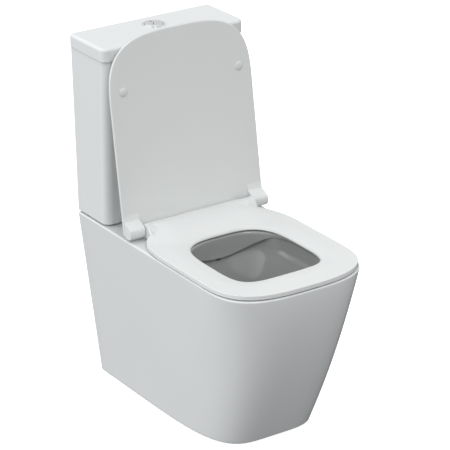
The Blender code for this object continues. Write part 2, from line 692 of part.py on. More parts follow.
def seat_section(x, depth):
    """Closed section of the seat ring from its outer edge to the hole."""
    hole = hole_point(x, depth, 0.0)
    span = math.hypot(x - hole[0], depth - hole[1])
    top = SEAT_TOP
    edge = 0.004
    marks = [(edge, SEAT_BOTTOM, 0), (0.0, SEAT_BOTTOM + 0.002, 0), (0.0, top - edge, 1),
             (0.3 * edge, top - 0.3 * edge, 1), (edge * 1.3, top, 1), (0.30 * span, top + 0.0006, 1),
             (0.62 * span, top, 1), (span - 0.012, top - 0.0025, 1), (span - 0.004, top - 0.0065, 0),
             (span, SEAT_BOTTOM + 0.0015, 0), (span - 0.004, SEAT_BOTTOM, 0)]
    ring = []
    for inward, height, lifted in marks:
        t = inward / span
        px, pd = blend(x, hole[0], t), blend(depth, hole[1], t)
        lift = (seat_height(px, pd) - SEAT_TOP) if lifted else 0.0
        ring.append(Vector((px, HINGE_DEPTH - pd, height + lift - HINGE_HEIGHT)))
    return ring


def make_seat(hinge):
    half = seat_outline()
    outline = half + [(-x, depth) for x, depth in reversed(half[1:-1])]
    seat = add_object("seat_ring", loft([seat_section(x, depth) for x, depth in outline], cyclic=True),
                      duroplast(), hinge)
    barrel = along_x(stack([(KNUCKLE, 0), (KNUCKLE, 2 * SEAT_BARREL)], 24), -SEAT_BARREL)
    boolean(seat, guide("seat_barrel", barrel, hinge), "UNION")
    for name, side in (("left", -1), ("right", 1)):
        bore = along_x(stack([(0.0093, 0), (0.0093, 0.070)], 16), 0.040 if side > 0 else -0.110)
        boolean(seat, guide("damper_bore_" + name, bore, hinge))
        pin_bore = along_x(stack([(PIN_RADIUS + RUNNING, 0), (PIN_RADIUS + RUNNING, 0.02)], 16),
                           0.130 if side > 0 else -0.150)
        boolean(seat, guide("seat_pin_bore_" + name, pin_bore, hinge))
        x = side * POST_X
        room = 0.0112
        slot = [(-room, -0.05), (-room, room), (0.0003, room), (0.0003, 0.03), (0.03, 0.03), (0.03, -0.05)]
        boolean(seat, guide("post_slot_" + name, prism_x(slot, x - 0.0152, x + 0.0152), hinge))
    pad_top = SEAT_BOTTOM - GAP - HINGE_HEIGHT
    pad_low = PAN_HEIGHT + GAP - HINGE_HEIGHT
    for place, x, depth in (("front_left", -0.105, 0.618), ("front_right", 0.105, 0.618),
                            ("back_left", -0.150, 0.345), ("back_right", 0.150, 0.345)):
        pad = stack([(0.0085, pad_low), (0.0095, pad_low + 0.0006), (0.0095, pad_top)], 14)
        add_object("seat_buffer_" + place, pad, clear_rubber(), hinge, (x, HINGE_DEPTH - depth, 0))


# ---------------------------------------------------------------- cover
COVER_LIFT = 0.0165                 # closed inner face above the hinge axis
PAD_X = 0.150
PAD_REACH = 0.313                   # buffers, from the hinge axis
PAD_HEIGHT = 0.0088


def cover_outline():
    """Half outline of the cover as (x, distance from the axis), front to back."""
    straight = 0.270
    points = []
    for i in range(13):
        across, out = bow(math.pi / 2 * (1 - i / 12), 3.3)
        points.append((COVER_HALF_WIDTH * across, straight + (COVER_LENGTH - straight) * out))
    points += [(COVER_HALF_WIDTH, 0.20), (COVER_HALF_WIDTH, 0.13), (COVER_HALF_WIDTH, 0.06),
               (COVER_HALF_WIDTH, 0.0), (COVER_HALF_WIDTH, -0.004), (COVER_HALF_WIDTH - 0.004, -0.009),
               (0.12, -0.009), (0.06, -0.009), (0.0, -0.009)]
    return points


def make_cover(hinge):
    half = cover_outline()
    outline = half + [(-x, reach) for x, reach in reversed(half[1:-1])]
    levels = [(0.0, 0.986), (0.0018, 0.997), (COVER_THICKNESS - 0.004, 1.0), (COVER_THICKNESS - 0.001, 0.993),
              (COVER_THICKNESS, 0.975)]
    middle = 0.20
    rings = []
    for level, scale in levels:
        ring = []
        for x, reach in outline:
            reach = middle + (reach - middle) * scale
            drop = math.tan(COVER_TILT) * reach
            ring.append(Vector((x * scale, -reach, COVER_LIFT + level - drop)))
        rings.append(ring)
    cover = add_object("seat_cover", loft(rings), duroplast(), hinge)
    for name, side in (("left", -1), ("right", 1)):
        start = EAR_INNER if side > 0 else -EAR_OUTER
        width = EAR_OUTER - EAR_INNER
        ear = along_x(stack([(KNUCKLE - 0.001, 0), (KNUCKLE, 0.001), (KNUCKLE, width - 0.001),
                             (KNUCKLE - 0.001, width)], 20), start)
        boolean(cover, guide("cover_ear_" + name, ear, hinge), "UNION")
        web = box((start + 0.0005, -KNUCKLE + 0.001, 0.0), (start + width - 0.0005, 0.0085, COVER_LIFT + 0.005))
        boolean(cover, guide("cover_web_" + name, web, hinge), "UNION")
        bore = along_x(stack([(PIN_RADIUS + RUNNING, 0), (PIN_RADIUS + RUNNING, 0.04)], 16),
                       0.132 if side > 0 else -0.172)
        boolean(cover, guide("cover_pin_bore_" + name, bore, hinge))
        face = COVER_LIFT - math.tan(COVER_TILT) * PAD_REACH
        pad = stack([(0.0030, -PAD_HEIGHT), (0.0070, -0.0072), (0.0093, -0.0040), (0.0100, -GAP)], 14)
        bmesh.ops.rotate(pad, matrix=Matrix.Rotation(COVER_TILT, 3, "X"), verts=pad.verts)
        add_object("cover_buffer_" + name, pad, clear_rubber(), hinge, (side * PAD_X, -PAD_REACH, face))


# ---------------------------------------------------------------- hinges
def make_hinges():
    axis = Vector((0, wall(HINGE_DEPTH), HINGE_HEIGHT))
    deck_low = PAN_HEIGHT - DECK
    for name, side in (("left", -1), ("right", 1)):
        spot = Vector((side * POST_X, axis.y, 0))
        half = 0.0135
        foot = box((-half, -0.0095, PAN_HEIGHT + GAP), (half, 0.0130, PAN_HEIGHT + 0.006))
        post = add_object("hinge_post_" + name, foot, chrome(), location=spot)
        boolean(post, guide("post_neck_" + name, box((-half + 0.0004, -0.0092, PAN_HEIGHT + 0.004),
                                                     (half - 0.0004, 0.0092, HINGE_HEIGHT)), location=spot), "UNION")
        eye = along_x(stack([(0.0094, 0), (0.0094, 2 * half - 0.0004)], 20), -half + 0.0002)
        boolean(post, guide("post_eye_" + name, eye, location=spot + Vector((0, 0, HINGE_HEIGHT))), "UNION")
        bore = along_x(stack([(PIN_RADIUS + RUNNING, 0), (PIN_RADIUS + RUNNING, 0.04)], 16), -0.02)
        boolean(post, guide("post_bore_" + name, bore, location=spot + Vector((0, 0, HINGE_HEIGHT))))
        socket = stack([(0.0043, PAN_HEIGHT - 0.01), (0.0043, PAN_HEIGHT + 0.0080)], 16)
        boolean(post, guide("post_socket_" + name, socket, location=spot))
        inner, outer = 0.0872, 0.1710
        pin = along_x(stack([(PIN_RADIUS, 0), (PIN_RADIUS, outer - inner)], 16), inner if side > 0 else -outer)
        add_object("hinge_pin_" + name, pin, zinc(), location=axis)
        damper = along_x(stack([(0.0080, 0), (0.0088, 0.001), (0.0088, 0.046), (0.0060, 0.0466)], 14),
                         0.0403 if side > 0 else -0.0869)
        add_object("hinge_damper_" + name, damper, grey_plastic(), location=axis)
        add_object("hinge_stud_" + name, stack([(0.0032, 0.3500), (0.0040, 0.3510), (0.0040, 0.4072)], 16), zinc(),
                   location=spot)
        washer = tube(0.0110, 0.0043, deck_low - 0.0025, deck_low - GAP, 14)
        add_object("hinge_washer_" + name, washer, rubber(), location=spot)
        nut = hex_nut(0.0043, 0.0130, 0.3720, deck_low - 0.0028)
        add_object("hinge_nut_" + name, nut, zinc(), location=spot)


def main():
    for thing in list(bpy.data.objects):
        bpy.data.objects.remove(thing)
    make_pan()
    make_bowl()
    make_trap()
    make_flushway()
    make_tank()
    make_lid()
    make_buttons()
    make_flush_valve()
    make_fill_valve()
    make_coupling()
    axis = (0, wall(HINGE_DEPTH), HINGE_HEIGHT)
    make_seat(axis_empty("seat_hinge_axis", axis))
    make_cover(axis_empty("cover_hinge_axis", axis, -COVER_OPEN))
    make_hinges()


main()
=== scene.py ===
"""Close coupled toilet: fine meshes, finishes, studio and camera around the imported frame.

Lengths are metres in the frame's own axes: +Z up, -Y the front, +Y the wall.
Depths are measured from the wall, which is the back of the cistern.
"""

from __future__ import annotations

import bisect
import functools
import json
import logging
import math
from dataclasses import dataclass, field
from enum import Enum
from typing import Iterable, Optional, Sequence

import bmesh
import bpy
from mathutils import Matrix, Vector

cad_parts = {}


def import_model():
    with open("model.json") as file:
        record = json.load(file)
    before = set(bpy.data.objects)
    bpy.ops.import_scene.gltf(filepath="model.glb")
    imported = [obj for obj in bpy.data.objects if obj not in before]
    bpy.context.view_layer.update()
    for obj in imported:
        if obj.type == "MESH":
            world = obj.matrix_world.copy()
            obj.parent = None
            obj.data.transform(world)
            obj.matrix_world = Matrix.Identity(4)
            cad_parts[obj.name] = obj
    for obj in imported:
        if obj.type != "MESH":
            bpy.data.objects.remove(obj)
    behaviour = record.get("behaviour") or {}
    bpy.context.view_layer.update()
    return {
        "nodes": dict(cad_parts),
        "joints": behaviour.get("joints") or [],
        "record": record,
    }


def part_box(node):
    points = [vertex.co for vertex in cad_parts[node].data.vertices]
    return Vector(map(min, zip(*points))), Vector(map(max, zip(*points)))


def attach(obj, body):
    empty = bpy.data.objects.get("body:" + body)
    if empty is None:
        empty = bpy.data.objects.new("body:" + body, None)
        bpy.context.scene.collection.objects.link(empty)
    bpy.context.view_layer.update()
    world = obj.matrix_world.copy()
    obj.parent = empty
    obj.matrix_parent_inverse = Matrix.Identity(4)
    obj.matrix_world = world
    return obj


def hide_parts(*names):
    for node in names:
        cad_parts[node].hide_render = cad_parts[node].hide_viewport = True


LOG = logging.getLogger("toilet")

# Radii of the holes for the valves, bolts, studs, buttons and hinge pins.
FLUSH_NUT_ROOM = 0.044
FLUSH_TAIL_BORE = 0.0325
FILL_NUT_ROOM = 0.021
FILL_TAIL_BORE = 0.0113
BOLT_BORE = 0.0048
STUD_BORE = 0.0050
BUTTON_BORE = 0.0235
PIN_BORE = 0.0043

# Degrees between the shut and the open cover, and the steepest smooth edge of a carried-over node.
COVER_ANGLE = 100.5
CAD_SHARP_ANGLE = 34

Ring = list[Vector]


# ---------------------------------------------------------------- curves
def blend(start: float, end: float, t: float) -> float:
    """Straight mix of two numbers."""
    return start + (end - start) * t


def smoothstep(low: float, high: float, value: float) -> float:
    """Smooth rise from 0 at low to 1 at high.

    Args:
        low: Where the rise starts.
        high: Where it ends.
        value: Where to read it.

    Returns:
        A share from 0 to 1.
    """
    t = min(max((value - low) / (high - low), 0.0), 1.0)
    return t * t * (3 - 2 * t)


def bow(angle: float, exponent: float) -> tuple[float, float]:
    """Cosine and sine pair of a superellipse.

    Args:
        angle: Position round the curve in radians.
        exponent: 2 for an ellipse, more for squarer corners.

    Returns:
        The across and the outward share, each from -1 to 1.
    """
    c, s = math.cos(angle), math.sin(angle)
    return (math.copysign(abs(c) ** (2 / exponent), c), math.copysign(abs(s) ** (2 / exponent), s))


def spline(stations: Sequence[Sequence[float]], t: float) -> list[float]:
    """Catmull-Rom value of a table of stations.

    Args:
        stations: Rows of numbers, evenly spaced in t.
        t: Place along the table from 0 to 1.

    Returns:
        One interpolated row.
    """
    last = len(stations) - 1
    place = min(max(t, 0.0), 1.0) * last
    i = min(int(place), last - 1)
    u = place - i
    a, b, c, d = (stations[min(max(i + k, 0), last)] for k in (-1, 0, 1, 2))
    return [0.5 * (2 * q + (r - p) * u + (2 * p - 5 * q + 4 * r - s) * u * u
                   + (3 * q - p - 3 * r + s) * u ** 3)
            for p, q, r, s in zip(a, b, c, d)]


def quarter(radius: float, steps: int) -> list[tuple[float, float]]:
    """Rounded edge as (inset, drop) pairs, from the side up to the top."""
    turns = [math.pi / 2 * i / steps for i in range(steps + 1)]
    return [(radius * (1 - math.cos(a)), radius * (1 - math.sin(a))) for a in turns]


# ---------------------------------------------------------------- meshes
def loft(rings: Sequence[Ring], cyclic: bool = False) -> bmesh.types.BMesh:
    """Skin of a list of rings with equal point counts.

    Args:
        rings: Closed rings of points.
        cyclic: Join the last ring to the first instead of capping both.

    Returns:
        A closed bmesh.
    """
    bm = bmesh.new()
    rows = [[bm.verts.new(point) for point in ring] for ring in rings]
    pairs = list(zip(rows, rows[1:]))
    if cyclic:
        pairs.append((rows[-1], rows[0]))
    for low, high in pairs:
        for i, corner in enumerate(low):
            j = (i + 1) % len(low)
            bm.faces.new((corner, low[j], high[j], high[i]))
    if not cyclic:
        bm.faces.new(rows[0])
        bm.faces.new(rows[-1])
    bmesh.ops.recalc_face_normals(bm, faces=bm.faces)
    return bm


def turned(profile: Sequence[tuple[float, float]], steps: int = 64) -> bmesh.types.BMesh:
    """Ring shaped solid of revolution about Z.

    Args:
        profile: Closed outline of (radius, height) points.
        steps: Points round the axis.

    Returns:
        The ring.
    """
    turns = [2 * math.pi * (i + 0.5) / steps for i in range(steps)]
    return loft([[Vector((r * math.cos(a), r * math.sin(a), z)) for r, z in profile] for a in turns],
                cyclic=True)


def stack(profile: Sequence[tuple[float, float]], steps: int = 48) -> bmesh.types.BMesh:
    """Capped solid of revolution about Z from (radius, height) pairs."""
    turns = [2 * math.pi * (i + 0.5) / steps for i in range(steps)]
    return loft([[Vector((r * math.cos(a), r * math.sin(a), z)) for a in turns] for r, z in profile])


def prism_x(outline: Sequence[tuple[float, float]], start: float, end: float) -> bmesh.types.BMesh:
    """Solid with a (y, z) outline that runs along X from start to end."""
    return loft([[Vector((x, y, z)) for y, z in outline] for x in (start, end)])


def block(low: Sequence[float], high: Sequence[float]) -> bmesh.types.BMesh:
    """Box between two corners."""
    (x0, y0, z0), (x1, y1, z1) = low, high
    return prism_x([(y0, z0), (y1, z0), (y1, z1), (y0, z1)], x0, x1)


def along_x(bm: bmesh.types.BMesh, start: float) -> bmesh.types.BMesh:
    """Lay a Z-axis solid down along +X.

    Args:
        bm: The solid, turned in place.
        start: X where it starts.

    Returns:
        The same solid.
    """
    lay = Matrix.Translation((start, 0, 0)) @ Matrix.Rotation(math.pi / 2, 4, "Y")
    bmesh.ops.transform(bm, matrix=lay, verts=bm.verts)
    return bm


def bore_start(side: int, start: float, length: float) -> float:
    """X where a bore along +X starts on one side, mirrored from the right side's."""
    return start if side > 0 else -start - length


def pipe(path: Sequence[Vector], radii: Sequence[float], steps: int = 40) -> bmesh.types.BMesh:
    """Round pipe along a path in the YZ plane with a radius at each point.

    Args:
        path: Centres of the rings.
        radii: One radius for each centre.
        steps: Points round a ring.

    Returns:
        The capped pipe.
    """
    rings = []
    for i, (centre, radius) in enumerate(zip(path, radii)):
        tangent = (path[min(i + 1, len(path) - 1)] - path[max(i - 1, 0)]).normalized()
        side = Vector((1, 0, 0))
        up = side.cross(tangent)
        turns = [2 * math.pi * k / steps for k in range(steps)]
        rings.append([centre + side * radius * math.cos(a) + up * radius * math.sin(a) for a in turns])
    return loft(rings)


def rounded_ring(half: float, front: float, back: float, height: float,
                 front_radius: float, back_radius: float, steps: int = 12) -> Ring:
    """Rounded rectangle at a height, with its own corner radius at the front and at the back.

    Args:
        half: Half of the width.
        front: Y of the front side.
        back: Y of the back side.
        height: Z of the ring.
        front_radius: Radius of the front corners.
        back_radius: Radius of the back corners.
        steps: Segments in a corner.

    Returns:
        The ring, counterclockwise from the right.
    """
    ring = []
    corners = ((half, back, back_radius, 0), (-half, back, back_radius, 90),
               (-half, front, front_radius, 180), (half, front, front_radius, 270))
    for x, y, radius, start in corners:
        centre = Vector((x - math.copysign(radius, x), y - radius if y == back else y + radius, height))
        for i in range(steps + 1):
            angle = math.radians(start + 90 * i / steps)
            ring.append(centre + Vector((math.cos(angle), math.sin(angle), 0)) * radius)
    return ring


class Operation(Enum):
    """What a tool solid does to its target."""

    CUT = "DIFFERENCE"
    JOIN = "UNION"


class Carver:
    """Builds one piece from a base solid and a row of exact Boolean tools."""

    def __init__(self, name: str, base: bmesh.types.BMesh) -> None:
        """Start a piece.

        Args:
            name: The piece's name.
            base: Its base solid.
        """
        self.piece = self._link(name, base)
        self.piece.data.materials.append(None)
        self.tools: list[bpy.types.Object] = []

    @staticmethod
    def _link(name: str, bm: bmesh.types.BMesh) -> bpy.types.Object:
        """Object for a bmesh, linked to the scene.

        Args:
            name: Name of the object and its mesh.
            bm: The solid, freed here.

        Returns:
            The object.
        """
        mesh = bpy.data.meshes.new(name)
        bm.to_mesh(mesh)
        bm.free()
        made = bpy.data.objects.new(name, mesh)
        bpy.context.scene.collection.objects.link(made)
        return made

    def use(self, operation: Operation, bm: bmesh.types.BMesh, place: Sequence[float] = (0, 0, 0),
            slot: Optional[str] = None) -> None:
        """Queue one Boolean.

        Args:
            operation: Whether the tool cuts or joins.
            bm: The tool's solid.
            place: Where the tool's own origin goes.
            slot: The finish that the tool leaves on the faces it makes, if not the piece's own.
        """
        tool = self._link("tool", bm)
        if slot:
            tool.data.materials.append(FINISHES[slot].material())
        tool.location = place
        self.tools.append(tool)
        modifier = self.piece.modifiers.new("tool", "BOOLEAN")
        modifier.operation = operation.value
        modifier.object = tool
        modifier.material_mode = "TRANSFER"

    def done(self, sharp_degrees: float = 32.0) -> bpy.types.Object:
        """Apply the tools and shade the piece.

        Args:
            sharp_degrees: Edges steeper than this stay crisp.

        Returns:
            The finished object, with nothing left on it but a normal weighting.
        """
        if self.tools:
            graph = bpy.context.evaluated_depsgraph_get()
            mesh = bpy.data.meshes.new_from_object(self.piece.evaluated_get(graph))
            self.piece.modifiers.clear()
            self.piece.data = mesh
            for tool in self.tools:
                bpy.data.objects.remove(tool)
        self.piece.data.shade_smooth()
        self.piece.data.set_sharp_from_angle(angle=math.radians(sharp_degrees))
        weighting = self.piece.modifiers.new("weighted_normals", "WEIGHTED_NORMAL")
        weighting.keep_sharp = True
        return self.piece


# ---------------------------------------------------------------- finishes
@dataclass(frozen=True)
class Finish:
    """One procedural finish: a shader with fine surface variation."""

    slot: str
    colour: tuple[float, float, float]
    roughness: float
    metallic: float = 0.0
    coat: float = 0.0
    specular: float = 0.5
    subsurface: float = 0.0
    grain_scale: float = 40.0
    grain_bump: float = 0.0
    tint: float = 0.02
    stretch: tuple[float, float, float] = (1.0, 1.0, 1.0)

    def material(self) -> bpy.types.Material:
        """Build the finish once and return it.

        Returns:
            The node material named after the slot.
        """
        made = bpy.data.materials.get("finish_" + self.slot)
        if made:
            return made
        made = bpy.data.materials.new("finish_" + self.slot)
        made.use_nodes = True
        tree = made.node_tree
        shader = tree.nodes["Principled BSDF"]
        shader.inputs["Metallic"].default_value = self.metallic
        shader.inputs["Coat Weight"].default_value = self.coat
        shader.inputs["Specular IOR Level"].default_value = self.specular
        shader.inputs["Coat Roughness"].default_value = 0.03
        shader.inputs["Subsurface Weight"].default_value = self.subsurface
        shader.inputs["Subsurface Radius"].default_value = (0.004, 0.004, 0.004)
        place = tree.nodes.new("ShaderNodeTexCoord")
        mapping = tree.nodes.new("ShaderNodeMapping")
        mapping.inputs["Scale"].default_value = self.stretch
        tree.links.new(place.outputs["Object"], mapping.inputs["Vector"])
        noise = self._noise(tree, mapping, self.grain_scale, 3.0)
        cloud = self._noise(tree, mapping, self.grain_scale / 12, 1.0)
        self._ramp(tree, cloud, shader.inputs["Base Color"],
                   [tuple(c * (1 - self.tint) for c in self.colour), self.colour])
        self._range(tree, noise, shader.inputs["Roughness"])
        if self.grain_bump:
            bump = tree.nodes.new("ShaderNodeBump")
            bump.inputs["Strength"].default_value = self.grain_bump
            bump.inputs["Distance"].default_value = 0.0005
            tree.links.new(noise.outputs["Fac"], bump.inputs["Height"])
            tree.links.new(bump.outputs["Normal"], shader.inputs["Normal"])
        return made

    @staticmethod
    def _noise(tree: bpy.types.NodeTree, mapping: bpy.types.Node, scale: float,
               detail: float) -> bpy.types.Node:
        """Noise texture fed by the mapping.

        Args:
            tree: The material's nodes.
            mapping: Node that places the texture.
            scale: Fineness of the noise.
            detail: Octaves of the noise.

        Returns:
            The noise node.
        """
        noise = tree.nodes.new("ShaderNodeTexNoise")
        noise.inputs["Scale"].default_value = scale
        noise.inputs["Detail"].default_value = detail
        tree.links.new(mapping.outputs["Vector"], noise.inputs["Vector"])
        return noise

    @staticmethod
    def _ramp(tree: bpy.types.NodeTree, noise: bpy.types.Node, socket: bpy.types.NodeSocket,
              colours: Sequence[tuple[float, float, float]]) -> None:
        """Drive a colour socket from a noise through a two stop ramp.

        Args:
            tree: The material's nodes.
            noise: The noise node.
            socket: The colour socket.
            colours: The ramp's two colours.
        """
        ramp = tree.nodes.new("ShaderNodeValToRGB")
        ramp.color_ramp.elements[0].position = 0.35
        ramp.color_ramp.elements[1].position = 0.65
        for element, colour in zip(ramp.color_ramp.elements, colours):
            element.color = (*colour, 1.0)
        tree.links.new(noise.outputs["Fac"], ramp.inputs["Fac"])
        tree.links.new(ramp.outputs["Color"], socket)

    def _range(self, tree: bpy.types.NodeTree, noise: bpy.types.Node, socket: bpy.types.NodeSocket) -> None:
        """Let the roughness wander a little about its value.

        Args:
            tree: The material's nodes.
            noise: The noise node.
            socket: The roughness socket.
        """
        spread = tree.nodes.new("ShaderNodeMapRange")
        spread.inputs["To Min"].default_value = self.roughness * 0.85
        spread.inputs["To Max"].default_value = self.roughness * 1.15
        tree.links.new(noise.outputs["Fac"], spread.inputs["Value"])
        tree.links.new(spread.outputs["Result"], socket)


FINISHES: dict[str, Finish] = {finish.slot: finish for finish in (
    Finish("glazed_ceramic", (0.700, 0.712, 0.718), 0.16, coat=0.5, specular=0.25,
           grain_scale=60, grain_bump=0.02, tint=0.012),
    # Dark grey finish for the bowl's inside faces: painted shade that stands for the shade deep in the bowl,
    # not a different glaze.
    Finish("bowl_painted_shade", (0.33, 0.332, 0.332), 0.14, coat=0.6, specular=0.25,
           grain_scale=60, grain_bump=0.02, tint=0.03),
    Finish("duroplast", (0.700, 0.712, 0.707), 0.22, coat=0.4, specular=0.25,
           grain_scale=90, grain_bump=0.015, tint=0.008),
    Finish("chrome", (0.83, 0.84, 0.85), 0.06, metallic=1.0, grain_scale=120, tint=0.03),
    Finish("zinc_steel", (0.62, 0.63, 0.64), 0.34, metallic=1.0, grain_scale=300, grain_bump=0.15, tint=0.12),
    Finish("brass", (0.70, 0.53, 0.25), 0.30, metallic=1.0, grain_scale=260, grain_bump=0.10, tint=0.10),
    Finish("white_plastic", (0.76, 0.77, 0.77), 0.42, grain_scale=220, grain_bump=0.08, tint=0.03),
    Finish("grey_plastic", (0.17, 0.19, 0.21), 0.45, grain_scale=220, grain_bump=0.10, tint=0.08),
    Finish("rubber", (0.035, 0.035, 0.038), 0.75, grain_scale=400, grain_bump=0.20, tint=0.15),
    Finish("clear_rubber", (0.68, 0.69, 0.685), 0.38, subsurface=0.3,
           grain_scale=300, grain_bump=0.05, tint=0.03),
)}


def dress(piece: bpy.types.Object, body: str, slot: str, *nodes: str) -> bpy.types.Object:
    """Finish a piece, tie it to its body and let it stand for its CAD nodes.

    Args:
        piece: The visual piece, already in place.
        body: The CAD body that it moves with.
        slot: The material slot that it takes its finish from.
        nodes: The CAD nodes that it replaces.

    Returns:
        The same piece.
    """
    if not piece.data.materials:
        piece.data.materials.append(None)
    piece.data.materials[0] = FINISHES[slot].material()
    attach(piece, body)
    if nodes:
        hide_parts(*nodes)
    LOG.info("%s: %d faces on %s", piece.name, len(piece.data.polygons), body)
    return piece


# ---------------------------------------------------------------- pan
@dataclass
class Pan:
    """Skirted ceramic pan with its bowl, trap, flushway and open back."""

    wall_y: float
    width: float
    depth: float
    height: float
    base_width: float = 0.2925
    base_depth: float = 0.527
    base_back: float = 0.020
    shell: float = 0.014
    deck: float = 0.016
    rim_radius: float = 0.0040
    bowl_wall: float = 0.012
    mouth_radius: float = 0.006
    guard_low: float = 0.349
    guard_rise: float = 0.0369
    guard_reach: float = 0.1036
    guard_bow: float = 2.2
    guard_thick: float = 0.0032
    pocket_depth: float = 0.0100
    pocket_rise: float = 0.017
    ledge_height: float = 0.3535
    ledge_depth: float = 0.0045
    bowl: tuple[tuple[float, float, float, float, float], ...] = (
        (0.3940, 0.453, 0.1240, 0.1390, 2.7), (0.3560, 0.453, 0.1235, 0.1385, 2.7),
        (0.3250, 0.451, 0.1150, 0.1280, 2.6), (0.2900, 0.445, 0.1000, 0.1140, 2.5),
        (0.2550, 0.430, 0.0800, 0.0960, 2.4), (0.2150, 0.405, 0.0580, 0.0740, 2.2),
        (0.1800, 0.385, 0.0450, 0.0570, 2.1), (0.1480, 0.378, 0.0340, 0.0450, 2.0),
        (0.1350, 0.378, 0.0200, 0.0280, 2.0))
    trap: tuple[tuple[float, float, float], ...] = (
        (0.378, 0.172, 0.027), (0.338, 0.146, 0.027), (0.292, 0.140, 0.027), (0.252, 0.163, 0.027),
        (0.224, 0.203, 0.027), (0.195, 0.235, 0.027), (0.158, 0.243, 0.027), (0.122, 0.222, 0.029),
        (0.085, 0.191, 0.037), (0.050, 0.180, 0.043), (0.018, 0.180, 0.043))
    flushway: tuple[tuple[float, float, float], ...] = (
        (0.066, 0.392, 0.020), (0.070, 0.362, 0.020), (0.106, 0.336, 0.020), (0.170, 0.326, 0.020),
        (0.230, 0.334, 0.018), (0.280, 0.347, 0.013), (0.3085, 0.3510, 0.009))

    @functools.cached_property
    def bowl_rows(self) -> list[list[float]]:
        """Finely spaced rows of the bowl's table, from the mouth down."""
        return [spline(self.bowl, i / 240) for i in range(241)]

    def skirt_ring(self, height: float, inset: float = 0.0, steps: int = 120) -> Ring:
        """Outline of the skirt at a height.

        Args:
            height: Height over the floor.
            inset: How far inside the outer face.
            steps: Points round the front.

        Returns:
            The ring, from the back left corner round the front.
        """
        t = min(max(height / self.height, 0.0), 1.0)
        half = blend(self.base_width, self.width, t) / 2 - inset
        front = blend(self.base_depth, self.depth, 1 - (1 - t) ** 1.47) - inset
        straight = blend(0.10, 0.525, t)
        back = self.base_back * (1 - t) + inset
        exponent = blend(4.6, 3.1, t)
        corner = [(0.005 * (1 - math.sin(a)), 0.005 * (1 - math.cos(a)))
                  for a in (math.radians(step) for step in (0, 30, 60, 90))]
        ring = [Vector((-half + x, self.wall_y - back - y, height)) for x, y in corner]
        for i in range(1, 9):
            ring.append(Vector((-half, self.wall_y - blend(back + 0.005, straight, i / 9), height)))
        for i in range(steps + 1):
            across, out = bow(math.pi * i / steps, exponent)
            ring.append(Vector((-half * across, self.wall_y - straight - (front - straight) * out, height)))
        for i in range(8, 0, -1):
            ring.append(Vector((half, self.wall_y - blend(back + 0.005, straight, i / 9), height)))
        return ring + [Vector((half - x, self.wall_y - back - y, height)) for x, y in reversed(corner)]

    def skirt(self) -> bmesh.types.BMesh:
        """Solid outer form with a rounded rim and a small foot radius.

        Returns:
            The form, not yet hollow.
        """
        rings = [self.skirt_ring(0.0, 0.0015), self.skirt_ring(0.0006, 0.0005), self.skirt_ring(0.0018)]
        rings += [self.skirt_ring(blend(0.0018, self.height - self.rim_radius, i / 40)) for i in range(1, 40)]
        rings += [self.skirt_ring(self.height - drop, inset) for inset, drop in quarter(self.rim_radius, 6)]
        return loft(rings)

    def hollow(self) -> bmesh.types.BMesh:
        """Space inside the skirt, open at the floor.

        Returns:
            The space as a solid.
        """
        top = self.height - self.deck
        heights = [-0.01] + [blend(0.0, top, i / 10) for i in range(11)]
        return loft([[Vector((p.x, p.y, z)) for p in self.skirt_ring(z, self.shell, 48)] for z in heights])

    def bowl_point(self, angle: float, height: float, grow: float) -> Vector:
        """Point of the bowl's wall.

        Args:
            angle: Position round the bowl, 90 degrees at the back.
            height: Height over the floor.
            grow: How far outside the bowl's face.

        Returns:
            The point.
        """
        rows = self.bowl_rows
        i = max(min(bisect.bisect_left(rows, -height, key=lambda row: -row[0]), len(rows) - 1), 1)
        low, high = rows[i], rows[i - 1]
        t = (height - low[0]) / (high[0] - low[0])
        depth, half_width, half_length, exponent = (blend(p, q, min(max(t, 0.0), 1.0))
                                                    for p, q in zip(low[1:], high[1:]))
        across, out = bow(angle, exponent)
        return Vector((across * (half_width + grow), self.wall_y - depth + out * (half_length + grow),
                       height))

    def bowl_column(self, angle: float) -> list[Vector]:
        """Wall of the bowl at one angle: mouth, flush guard, pocket behind it, ledge and sump.

        Args:
            angle: Position round the bowl, 90 degrees at the back.

        Returns:
            The points from the mouth down.
        """
        rim = self.bowl[0][0]
        place = self.bowl_point(angle, rim, 0.0)
        out = bow(angle, self.bowl[0][4])[1]
        guard = smoothstep(0.58, 0.86, out)
        arch = (abs(place.x) / self.guard_reach) ** self.guard_bow if out > 0 else 2.0
        edge = min(self.guard_low + self.guard_rise * arch, rim - 0.004)
        rise = min(self.pocket_rise, max(rim - 0.010 - edge, 0.0))
        near = self.guard_thick * guard
        far = self.pocket_depth * guard
        fold = ((0.0014, 0.0), (0.0004, near * 0.10), (0.0, near * 0.35), (0.0, near * 0.65), (0.0006, near),
                (0.0016 + rise / 2, near * 1.02), (0.0016 + rise, near * 1.10),
                (0.0018 + rise, blend(near, far, 0.5)), (0.0012 + rise, far))
        turn = [(edge + guard * lift - (1 - guard) * 0.0004 * (i + 1), inset)
                for i, (lift, inset) in enumerate(fold)]
        marks = [(blend(rim, turn[0][0], i / 10), 0.0) for i in range(1, 10)] + turn
        foot = self.bowl[-1][0]
        under = edge - 0.0010 - (1 - guard) * 0.0050
        marks += [(blend(turn[-1][0], under, i / 4), far) for i in range(1, 4)]
        for i in range(45):
            height = blend(under, foot, (i / 44) ** 1.25)
            marks.append((height, far * smoothstep(0.262, under, height)))
        ledge = self.ledge_height + 0.012 * smoothstep(0.30, 0.85, out)
        reach = self.ledge_depth * smoothstep(-0.97, -0.35, out)
        face = 1 - smoothstep(0.45, 0.62, out)
        points = []
        for height, inset in marks:
            above = smoothstep(ledge - 0.0035, ledge + 0.0025, height)
            shelf = reach * smoothstep(rim, 0.384, height) * above
            points.append(self.bowl_point(angle, height, inset + shelf * face))
        return points

